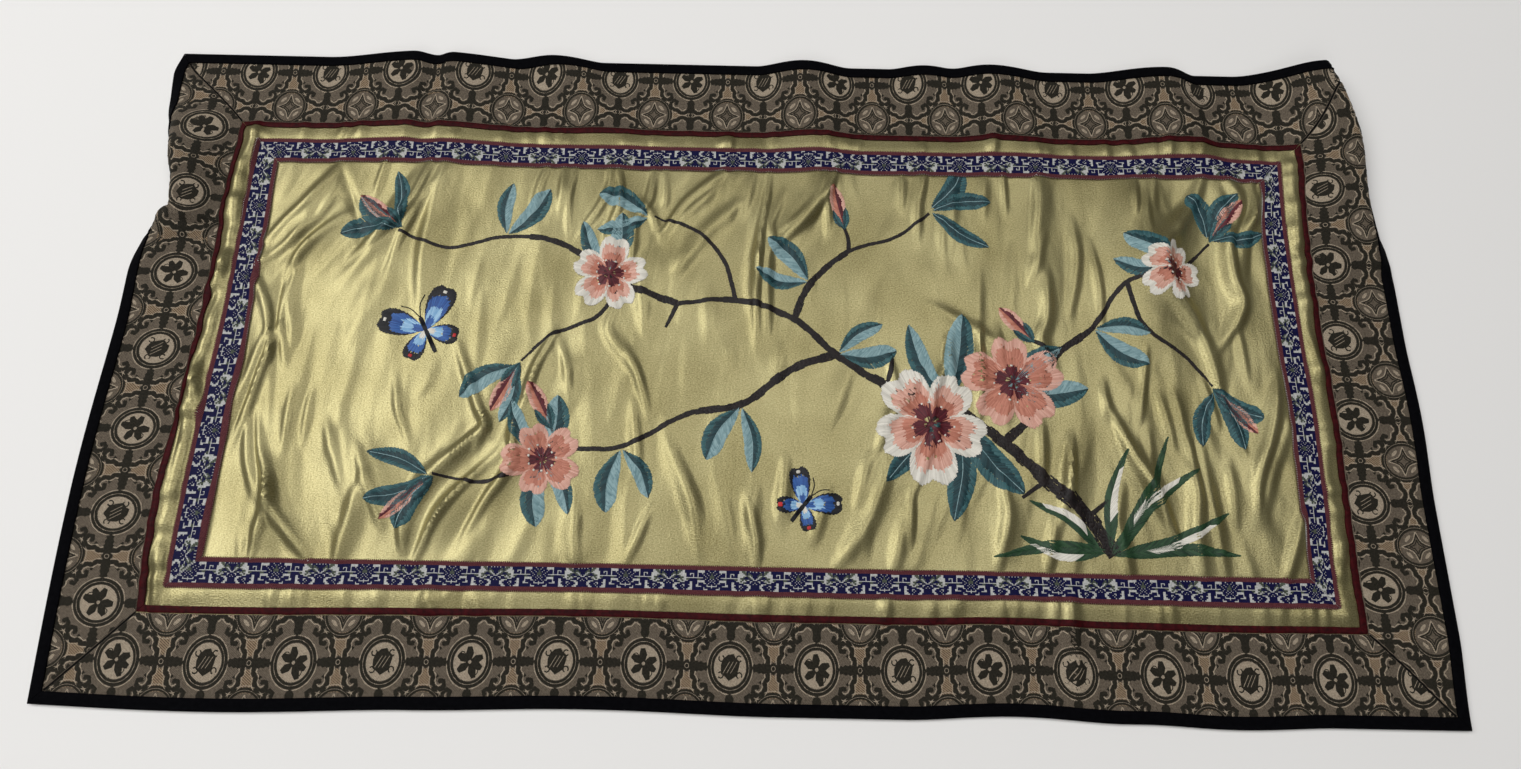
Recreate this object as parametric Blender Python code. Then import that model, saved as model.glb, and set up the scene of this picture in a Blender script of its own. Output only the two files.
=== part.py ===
"""An embroidered silk wall hanging, lying face up on a table in its own folds.

A satin panel carries a woven ribbon and a flat piping. A mitred brocade border is lapped on
the satin's edge, and a binding is folded round the border's outer edge.

Cloth sizes are millimetres on the cloth laid out flat: u runs to the right and v away from
the viewer, both from its middle. An inset is the distance from the outer edge. `place` puts
a point of the flat cloth on the lying one, in metres, with the table at z = 0.
"""

from collections import namedtuple
import math

import bmesh
import bpy
import numpy as np

MM = 0.001

# The flat cloth
WIDTH = 920.0
DEPTH = 480.0
BINDING_INSET = 8.2
# Where the flat cloth's middle lies, so that the lying cloth is centred on the origin
MIDDLE_X = 1.8
MIDDLE_Y = -1.0
BROCADE_LAP = 8.0
PIPING_OUTER = 58.6
PIPING_WIDTH = 4.4
RIBBON_OUTER = 73.8
RIBBON_WIDTH = 19.0

# The layers, as heights above the underside of the cloth
GAP = 0.3
SHEET = 1.0
SECOND = SHEET + GAP
THIRD = SECOND + SHEET + GAP
MITRE_TRIM = GAP / math.sqrt(2.0)

# How finely the folds are followed
LONG_CELLS = 50
NEAR_CELLS = 8
FAR_CELLS = 16
FAR_START = 0.1
NORMAL_STEP = 0.4

# Waves of the border: where along the side and at which inset, how far each way along it,
# how high they lift the cloth, how far they push it outwards, their reach across, their slant
Wave = namedtuple("Wave", "side at before after inset lift shift reach lean")
WAVES = (
    Wave("top", -262, 80, 85, 0, 6.0, 3.5, 150, 0.0),
    Wave("top", -257, 17, 13, 10, -3.5, -1.5, 120, 0.0),
    Wave("top", -168, 34, 40, 0, 4.5, 3.0, 90, 0.7),
    Wave("top", 28, 38, 36, 0, 6.5, 2.0, 130, 0.1),
    Wave("top", 122, 28, 30, 0, 2.5, 2.5, 45, 0.0),
    Wave("top", 172, 36, 46, 0, 6.0, 2.0, 120, 0.1),
    Wave("top", 308, 60, 24, 0, 6.5, 3.0, 150, 0.25),
    Wave("top", 470, 110, 60, 0, 2.0, 5.0, 75, 0.0),
    Wave("top", 405, 60, 60, 60, 0.0, -3.5, 45, 0.0),
    Wave("bottom", -350, 150, 130, 0, 0.0, 3.5, 110, 0.0),
    Wave("bottom", -110, 110, 120, 0, 0.0, -2.5, 110, 0.0),
    Wave("bottom", 165, 70, 70, 0, 0.0, -3.2, 110, 0.0),
    Wave("bottom", 310, 60, 60, 0, 0.0, 2.2, 90, 0.0),
    Wave("bottom", 0, 700, 700, 80, 0.0, -1.4, 30, 0.0),
    Wave("left", -105, 210, 150, 0, 0.0, 5.5, 260, 0.0),
    Wave("left", 112, 58, 75, 0, 0.0, -10.0, 56, 0.0),
    Wave("left", 190, 50, 40, 0, 0.0, -3.0, 120, 0.0),
    Wave("left", 248, 28, 20, 0, 0.0, -6.0, 60, 0.0),
    Wave("left", -60, 200, 270, 96, 0.0, -4.0, 30, 0.0),
    Wave("right", 185, 80, 70, 20, 0.0, 4.0, 180, 0.0),
    Wave("right", 150, 90, 80, 0, 0.0, -6.0, 45, 0.0),
    Wave("right", 262, 95, 20, 0, 0.0, -16.0, 72, 0.0),
    Wave("right", -35, 60, 60, 0, 0.0, 2.0, 160, 0.0),
    Wave("right", -240, 70, 60, 0, 0.0, -3.0, 90, 0.0),
    Wave("right", 150, 60, 60, 96, 0.0, 3.5, 24, 0.0),
    Wave("right", -150, 70, 60, 72, 0.0, -2.5, 24, 0.0),
)

# Where the border's edge rolls down and under: the place along the side, the cloth past the
# crest and the angle through which it has turned at the edge
ROLL_RADIUS = 3.8
Roll = namedtuple("Roll", "at tuck angle")
ROLLS = {
    "left": (
        Roll(15, 9, 0),
        Roll(50, 10, 25),
        Roll(82, 14, 75),
        Roll(104, 23, 165),
        Roll(128, 21, 150),
        Roll(150, 17, 110),
        Roll(174, 13, 60),
        Roll(198, 10, 20),
        Roll(225, 9, 0),
    ),
    "right": (
        Roll(70, 9, 0),
        Roll(90, 11, 30),
        Roll(112, 13, 70),
        Roll(140, 14, 92),
        Roll(175, 15, 100),
        Roll(210, 19, 125),
        Roll(245, 24, 160),
    ),
}
ROLL_REACH = {"left": 48.0, "right": 75.0}

# Folds of the satin: the middle, the way they run in degrees from +u, their length, their
# width to the left and right of that way, their height, and the bow of their line to the left
Fold = namedtuple("Fold", "u v turn length left right height bow")
FOLDS = (
    Fold(-268, 105, 62, 130, 13, 20, 4.5, 4),
    Fold(-338, 112, 55, 110, 16, 14, 3.2, -4),
    Fold(-318, 88, 52, 90, 12, 14, 2.6, 4),
    Fold(-352, 20, 100, 150, 14, 16, 3.0, 8),
    Fold(-392, 120, 88, 130, 9, 9, 2.2, 0),
    Fold(-394, -115, 90, 130, 8, 8, 2.4, 3),
    Fold(-333, -110, 95, 130, 12, 12, 3.2, -5),
    Fold(-318, -115, 123, 80, 11, 11, 2.4, 3),
    Fold(-262, -95, 122, 130, 26, 22, 2.8, 0),
    Fold(-170, -45, 78, 150, 14, 18, 3.4, -7),
    Fold(-204, -112, 60, 80, 13, 15, 3.0, 4),
    Fold(-160, 100, 84, 110, 18, 20, 2.4, 3),
    Fold(-105, 112, 88, 90, 13, 15, 2.4, 2),
    Fold(-52, 118, 50, 70, 12, 12, 2.4, -3),
    Fold(0, 70, 91, 150, 12, 13, 2.6, 4),
    Fold(34, 118, 62, 90, 13, 15, 2.8, 3),
    Fold(-8, -115, 96, 70, 11, 12, 2.2, -4),
    Fold(98, -55, 62, 130, 18, 20, 3.0, -4),
    Fold(122, -25, 92, 80, 11, 12, 2.2, 2),
    Fold(168, -112, 84, 80, 16, 12, 2.0, 0),
    Fold(206, 80, 92, 130, 18, 20, 2.4, 4),
    Fold(208, -90, 78, 130, 15, 16, 2.8, -4),
    Fold(262, -75, 118, 90, 12, 14, 2.8, 2),
    Fold(301, -110, 94, 100, 14, 12, 2.8, 2),
    Fold(352, -50, 72, 120, 13, 15, 3.4, 3),
    Fold(296, 82, 90, 210, 32, 30, 7.0, 26),
    Fold(340, 88, 90, 150, 15, 14, 4.2, -3),
    Fold(205, -190, 92, 80, 10, 12, 2.2, 0),
)

# The way out across each side, and how far off the middle it lies
Side = namedtuple("Side", "out_u out_v half")
SIDES = {
    "top": Side(0.0, 1.0, DEPTH / 2),
    "bottom": Side(0.0, -1.0, DEPTH / 2),
    "left": Side(-1.0, 0.0, WIDTH / 2),
    "right": Side(1.0, 0.0, WIDTH / 2),
}

# name: colour, roughness
FINISHES = {
    "satin": ((0.42, 0.37, 0.15), 0.35),
    "ribbon": ((0.20, 0.22, 0.42), 0.7),
    "piping": ((0.13, 0.008, 0.012), 0.45),
    "brocade": ((0.13, 0.11, 0.08), 0.65),
    "binding": ((0.004, 0.004, 0.006), 0.55),
}


def bump(x):
    """One at x = 0, falling smoothly to nothing at -1 and 1."""
    return np.clip(1.0 - x * x, 0.0, None) ** 2


def along_and_inset(side, u, v):
    """The place along a side, and the inset from it."""
    across = SIDES[side].out_u * u + SIDES[side].out_v * v
    along = v if SIDES[side].out_u else u
    return along, SIDES[side].half - across


def wave_share(wave, u, v):
    """How much of a wave's lift and shift a point takes."""
    along, inset = along_and_inset(wave.side, u, v)
    off = along - wave.at - wave.lean * inset
    width = np.where(off < 0, wave.before, wave.after)
    return bump(off / width) * bump((inset - wave.inset) / wave.reach)


def fold_height(fold, u, v):
    """The rise of one fold."""
    turn = math.radians(fold.turn)
    du, dv = u - fold.u, v - fold.v
    way = (du * math.cos(turn) + dv * math.sin(turn)) / (fold.length / 2)
    off = dv * math.cos(turn) - du * math.sin(turn) - fold.bow * (1.0 - way * way)
    width = np.where(off > 0, fold.left, fold.right)
    return fold.height * bump(way) * bump(off / width)


def roll_at(side, along):
    """The cloth past the crest, and its turn in radians, read smoothly between the rows."""
    rows = ROLLS[side]
    at = np.array([row.at for row in rows], float)
    index = np.clip(np.searchsorted(at, along) - 1, 0, len(rows) - 2)
    share = np.clip((along - at[index]) / (at[index + 1] - at[index]), 0.0, 1.0)
    share = share * share * (3.0 - 2.0 * share)
    tuck = np.array([row.tuck for row in rows], float)
    angle = np.radians([row.angle for row in rows])
    return (
        tuck[index] + share * (tuck[index + 1] - tuck[index]),
        angle[index] + share * (angle[index + 1] - angle[index]),
    )


def roll_section(past, angle):
    """How far out and down the cloth lies, that far past the crest."""
    arc = ROLL_RADIUS * angle
    turned = np.clip(past, 0.0, arc) / ROLL_RADIUS
    straight = np.clip(past - arc, 0.0, None)
    out = ROLL_RADIUS * np.sin(turned) + straight * np.cos(angle)
    down = ROLL_RADIUS * (1.0 - np.cos(turned)) + straight * np.sin(angle)
    return out, down


def roll_shift(side, u, v):
    """How far a rolled edge moves a point outwards and upwards."""
    along, inset = along_and_inset(side, u, v)
    tuck, angle = roll_at(side, along)
    past = np.clip(tuck - inset, 0.0, None)
    out, down = roll_section(past, angle)
    under = (THIRD + SHEET + GAP) * np.clip(-np.cos(angle), 0.0, None)
    crest = roll_section(tuck, angle)[1] + under
    rise = crest * bump(np.clip(inset - tuck, 0.0, None) / ROLL_REACH[side])
    return out - past, rise - down


def lie(u, v):
    """The underside of the cloth, in millimetres, at a point of the flat cloth."""
    u, v = np.asarray(u, float), np.asarray(v, float)
    x, y, z = u + MIDDLE_X, v + MIDDLE_Y, np.zeros_like(u)
    for wave in WAVES:
        share = wave_share(wave, u, v)
        side = SIDES[wave.side]
        x += side.out_u * wave.shift * share
        y += side.out_v * wave.shift * share
        z += wave.lift * share
    for name in ROLLS:
        outward, upward = roll_shift(name, u, v)
        x += SIDES[name].out_u * outward
        z += upward
    for fold in FOLDS:
        z += fold_height(fold, u, v)
    return np.stack([x, y, z], -1)


def place(u, v, height):
    """Points at a height above the underside, square to the cloth, in metres."""
    u, v = np.asarray(u, float), np.asarray(v, float)
    run_u = lie(u + NORMAL_STEP, v) - lie(u - NORMAL_STEP, v)
    run_v = lie(u, v + NORMAL_STEP) - lie(u, v - NORMAL_STEP)
    normal = np.cross(run_u, run_v)
    normal /= np.linalg.norm(normal, axis=-1, keepdims=True)
    return (lie(u, v) + normal * np.asarray(height, float)[..., None]) * MM


def on_side(side, along, inset):
    """Cloth coordinates of a place on a border, whose ways along run clockwise."""
    out_u, out_v, half = SIDES[side]
    return (
        out_u * (half - inset) + out_v * along,
        out_v * (half - inset) - out_u * along,
    )


def half_length(side, inset):
    """Half the length of a side's strip, measured at an inset."""
    return (WIDTH if SIDES[side].out_v else DEPTH) / 2 - inset


def stations(side, extra=()):
    """Places along a side, from -1 to 1 and clockwise, at which its strips have sections.
    They are closer on the far half of the short sides, whose edges roll."""
    if SIDES[side].out_v:
        places = np.linspace(-1.0, 1.0, LONG_CELLS + 1)
    else:
        near = np.linspace(-1.0, FAR_START, NEAR_CELLS + 1)
        far = np.linspace(FAR_START, 1.0, FAR_CELLS + 1)
        places = np.concatenate([near, far[1:]]) * (1.0 if side == "left" else -1.0)
    return sorted(set(np.round(places, 6)) | set(extra))


def make_object(name, finish, points, faces):
    """One closed body of triangles, with its own material."""
    mesh = bpy.data.meshes.new(name)
    mesh.from_pydata([tuple(p) for p in points], [], faces)
    body = bmesh.new()
    body.from_mesh(mesh)
    bmesh.ops.recalc_face_normals(body, faces=body.faces)
    body.to_mesh(mesh)
    body.free()
    mesh.shade_smooth()
    mesh.set_sharp_from_angle(angle=math.radians(40))
    colour, roughness = FINISHES[finish]
    material = bpy.data.materials.new(name)
    material.use_nodes = True
    shader = material.node_tree.nodes["Principled BSDF"]
    shader.inputs["Base Color"].default_value = (*colour, 1.0)
    shader.inputs["Roughness"].default_value = roughness
    shader.inputs["Metallic"].default_value = 0.0
    mesh.materials.append(material)
    body_object = bpy.data.objects.new(name, mesh)
    bpy.context.scene.collection.objects.link(body_object)
    return body_object


def strip(name, finish, side, lower, upper, places):
    """A strip of the frame, mitred at both ends. Its section lies between two chains of
    (inset, height) corners with as many corners each."""
    chains = len(lower)
    chain = tuple(lower) + tuple(upper)
    sections = []
    for share in places:
        for inset, height in chain:
            along = share * (half_length(side, inset) - MITRE_TRIM)
            sections.append((*on_side(side, along, inset), height))
    u, v, height = np.array(sections).T
    points = place(u, v, height)
    ring = list(range(chains)) + list(range(2 * chains - 1, chains - 1, -1))
    size = 2 * chains
    faces = []
    for row in range(len(places) - 1):
        for a, b in zip(ring, ring[1:] + ring[:1]):
            # Strips that lie on each other are split along the same diagonals
            outer, inner = sorted((a, b), key=lambda i: (chain[i][0], i))
            here, there = row * size, (row + 1) * size
            faces.append((here + outer, here + inner, there + inner))
            faces.append((here + outer, there + inner, there + outer))
    for end in (0, (len(places) - 1) * size):
        for i in range(chains - 1):
            faces.append((end + i, end + i + 1, end + chains + i + 1))
            faces.append((end + i, end + chains + i + 1, end + chains + i))
    return make_object(name, finish, points, faces)


def sheet_strip(finish, side, insets, places):
    """A strip that lies on the satin, as one sheet."""
    lower = [(inset, SECOND) for inset in insets]
    upper = [(inset, SECOND + SHEET) for inset in insets]
    return strip(finish + "_" + side, finish, side, lower, upper, places)


def satin_ground():
    """The satin, from under the brocade's lap to the middle."""
    numbers = {}
    flat = []

    def number(u, v):
        key = (round(u, 3), round(v, 3))
        if key not in numbers:
            numbers[key] = len(flat)
            flat.append(key)
        return numbers[key]

    cells = []
    ribbon_inner = RIBBON_OUTER + RIBBON_WIDTH
    outer = PIPING_OUTER - BROCADE_LAP
    insets = (outer, PIPING_OUTER, PIPING_OUTER + PIPING_WIDTH, RIBBON_OUTER, ribbon_inner)
    for side in SIDES:
        places = stations(side)
        for inset, inner in zip(insets, insets[1:]):
            for one, two in zip(places, places[1:]):
                corners = ((one, inset), (one, inner), (two, inner), (two, inset))
                cells.append(
                    [number(*on_side(side, s * half_length(side, i), i)) for s, i in corners]
                )
    columns = [f * half_length("top", ribbon_inner) for f in stations("top")]
    rows = [f * half_length("left", ribbon_inner) for f in stations("left")]
    for left, right in zip(columns, columns[1:]):
        for near, far in zip(rows, rows[1:]):
            corners = ((left, far), (left, near), (right, near), (right, far))
            cells.append([number(*corner) for corner in corners])

    count = len(flat)
    u, v = np.array(flat).T
    points = np.concatenate([place(u, v, np.zeros(count)), place(u, v, np.full(count, SHEET))])
    faces = []
    rim = set()
    for a, b, c, d in cells:
        for tri in ((a, b, c), (a, c, d)):
            faces.append(tri[::-1])
            faces.append(tuple(i + count for i in tri))
            for edge in zip(tri, tri[1:] + tri[:1]):
                if edge[::-1] in rim:
                    rim.remove(edge[::-1])
                else:
                    rim.add(edge)
    for a, b in sorted(rim):
        faces.append((a, b, b + count))
        faces.append((a, b + count, a + count))
    return make_object("satin_ground", "satin", points, faces)


def binding(side, places):
    """The binding: a strip folded round the edge of the brocade."""
    top = THIRD + SHEET
    bend = BINDING_INSET / 2
    outside = [(BINDING_INSET, 0.0), (bend, 0.0), (0.0, 0.0)]
    outside += [(0.0, top), (bend, top), (BINDING_INSET, top)]
    inside = [(BINDING_INSET, SHEET), (bend, SHEET), (SHEET, SHEET)]
    inside += [(SHEET, THIRD), (bend, THIRD), (BINDING_INSET, THIRD)]
    return strip("binding_" + side, "binding", side, outside, inside, places)


def border_insets():
    """Insets at which the brocade bends, closer where its edge rolls."""
    lap = PIPING_OUTER - BROCADE_LAP
    rolled = (12.0, 16.0, 20.0, 25.0, 32.0, 41.0)
    return (SHEET + GAP, BINDING_INSET / 2, BINDING_INSET, *rolled, lap, PIPING_OUTER - GAP)


def build():
    for old in list(bpy.data.objects):
        bpy.data.objects.remove(old, do_unlink=True)
    satin_ground()
    # The far border has closer sections where the right edge rolls
    corner = [1.0 - inset / (WIDTH / 2) for inset in (4.0, 8.0, 12.0, 16.0, 20.0, 24.0)]
    for side in SIDES:
        places = stations(side)
        edge_places = stations(side, corner) if side == "top" else places
        ribbon = (RIBBON_OUTER, RIBBON_OUTER + RIBBON_WIDTH)
        piping = (PIPING_OUTER, PIPING_OUTER + PIPING_WIDTH)
        sheet_strip("ribbon", side, ribbon, places)
        sheet_strip("piping", side, piping, places)
        sheet_strip("brocade", side, border_insets(), edge_places)
        binding(side, edge_places)


build()
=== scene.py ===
"""The looks of the embroidered silk wall hanging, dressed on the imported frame.

Cloth sizes are millimetres on the cloth laid out flat: u runs to the right and v away from
the viewer, both from its middle. An inset is the distance from the outer edge, and a height
is measured square to the cloth from its underside. `place` puts a point of the flat cloth
on the lying one, in metres, with the table at z = 0.
"""

from collections import namedtuple
import math
import re

import bmesh
import bpy
from mathutils import Matrix, Vector
import numpy as np


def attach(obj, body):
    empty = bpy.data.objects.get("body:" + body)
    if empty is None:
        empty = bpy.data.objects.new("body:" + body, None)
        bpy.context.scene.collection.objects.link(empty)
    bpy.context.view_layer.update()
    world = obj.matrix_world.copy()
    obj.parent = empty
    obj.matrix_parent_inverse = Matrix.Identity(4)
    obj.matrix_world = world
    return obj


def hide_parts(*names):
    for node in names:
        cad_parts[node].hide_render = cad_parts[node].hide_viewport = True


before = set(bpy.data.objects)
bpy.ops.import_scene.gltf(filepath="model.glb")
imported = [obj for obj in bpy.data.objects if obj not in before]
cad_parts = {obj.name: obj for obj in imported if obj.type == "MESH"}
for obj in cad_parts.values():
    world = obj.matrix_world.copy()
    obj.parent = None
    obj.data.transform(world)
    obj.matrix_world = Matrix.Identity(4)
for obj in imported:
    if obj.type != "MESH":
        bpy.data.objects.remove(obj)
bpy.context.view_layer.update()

MM = 0.001

# The flat cloth, with the names and values of the part's source
WIDTH = 920.0
DEPTH = 480.0
BINDING_INSET = 8.2
MIDDLE_X = 1.8
MIDDLE_Y = -1.0
BROCADE_LAP = 8.0
PIPING_OUTER = 58.6
PIPING_WIDTH = 4.4
RIBBON_OUTER = 73.8
RIBBON_WIDTH = 19.0
GAP = 0.3
SHEET = 1.0
SECOND = SHEET + GAP
THIRD = SECOND + SHEET + GAP
TOP = SECOND + SHEET
MITRE_TRIM = GAP / math.sqrt(2.0)

# Waves of the border on each side: where along it, how far each way along it, at which inset,
# how high they lift the cloth, how far they push it outwards, their reach across, their slant
WAVES = {
    "top": (
        (-262, 80, 85, 0, 6, 3.5, 150, 0), (-257, 17, 13, 10, -3.5, -1.5, 120, 0),
        (-168, 34, 40, 0, 4.5, 3, 90, 0.7), (28, 38, 36, 0, 6.5, 2, 130, 0.1),
        (122, 28, 30, 0, 2.5, 2.5, 45, 0), (172, 36, 46, 0, 6, 2, 120, 0.1),
        (308, 60, 24, 0, 6.5, 3, 150, 0.25), (470, 110, 60, 0, 2, 5, 75, 0),
        (405, 60, 60, 60, 0, -3.5, 45, 0),
    ),
    "bottom": (
        (-350, 150, 130, 0, 0, 3.5, 110, 0), (-110, 110, 120, 0, 0, -2.5, 110, 0),
        (165, 70, 70, 0, 0, -3.2, 110, 0), (310, 60, 60, 0, 0, 2.2, 90, 0),
        (0, 700, 700, 80, 0, -1.4, 30, 0),
    ),
    "left": (
        (-105, 210, 150, 0, 0, 5.5, 260, 0), (112, 58, 75, 0, 0, -10, 56, 0),
        (190, 50, 40, 0, 0, -3, 120, 0), (248, 28, 20, 0, 0, -6, 60, 0),
        (-60, 200, 270, 96, 0, -4, 30, 0),
    ),
    "right": (
        (185, 80, 70, 20, 0, 4, 180, 0), (150, 90, 80, 0, 0, -6, 45, 0),
        (262, 95, 20, 0, 0, -16, 72, 0), (-35, 60, 60, 0, 0, 2, 160, 0),
        (-240, 70, 60, 0, 0, -3, 90, 0), (150, 60, 60, 96, 0, 3.5, 24, 0),
        (-150, 70, 60, 72, 0, -2.5, 24, 0),
    ),
}

# Where the border's edge rolls down and under: the place along the side, the cloth past the
# crest and the angle through which it has turned at the edge
ROLL_RADIUS = 3.8
ROLLS = {
    "left": (
        (15, 9, 0), (55, 9.5, 12), (80, 11, 35), (93, 15, 90), (104, 23, 165), (128, 21, 150),
        (150, 17, 110), (174, 13, 60), (198, 10, 20), (225, 9, 0),
    ),
    "right": (
        (70, 9, 0), (90, 11, 30), (112, 13, 70), (140, 14, 92), (175, 15, 100), (210, 19, 125),
        (245, 24, 160),
    ),
}
ROLL_REACH = {"left": 48.0, "right": 75.0}

# Folds of the satin: the middle, the way they run in degrees from +u, their length, their
# width to the left and right of that way, their height, and the bow of their line to the left
FOLDS = (
    (-268, 105, 62, 130, 13, 20, 4.5, 4), (-338, 112, 55, 110, 16, 14, 3.2, -4),
    (-318, 88, 52, 90, 12, 14, 2.6, 4), (-352, 20, 100, 150, 14, 16, 3, 8),
    (-392, 120, 88, 130, 9, 9, 2.2, 0), (-394, -115, 90, 130, 8, 8, 2.4, 3),
    (-333, -110, 95, 130, 12, 12, 3.2, -5), (-318, -115, 123, 80, 11, 11, 2.4, 3),
    (-262, -95, 122, 130, 26, 22, 2.8, 0), (-170, -45, 78, 150, 14, 18, 3.4, -7),
    (-204, -112, 60, 80, 13, 15, 3, 4), (-160, 100, 84, 110, 18, 20, 2.4, 3),
    (-105, 112, 88, 90, 13, 15, 2.4, 2), (-52, 118, 50, 70, 12, 12, 2.4, -3),
    (0, 70, 91, 150, 12, 13, 2.6, 4), (34, 118, 62, 90, 13, 15, 2.8, 3),
    (-8, -115, 96, 70, 11, 12, 2.2, -4), (98, -55, 62, 130, 18, 20, 3, -4),
    (122, -25, 92, 80, 11, 12, 2.2, 2), (168, -112, 84, 80, 16, 12, 2, 0),
    (206, 80, 92, 130, 18, 20, 2.4, 4), (208, -90, 78, 130, 15, 16, 2.8, -4),
    (262, -75, 118, 90, 12, 14, 2.8, 2), (301, -110, 94, 100, 14, 12, 2.8, 2),
    (352, -50, 72, 120, 13, 15, 3.4, 3), (296, 82, 90, 210, 32, 30, 7, 26),
    (340, 88, 90, 150, 15, 14, 4.2, -3), (205, -190, 92, 80, 10, 12, 2.2, 0),
)

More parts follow.
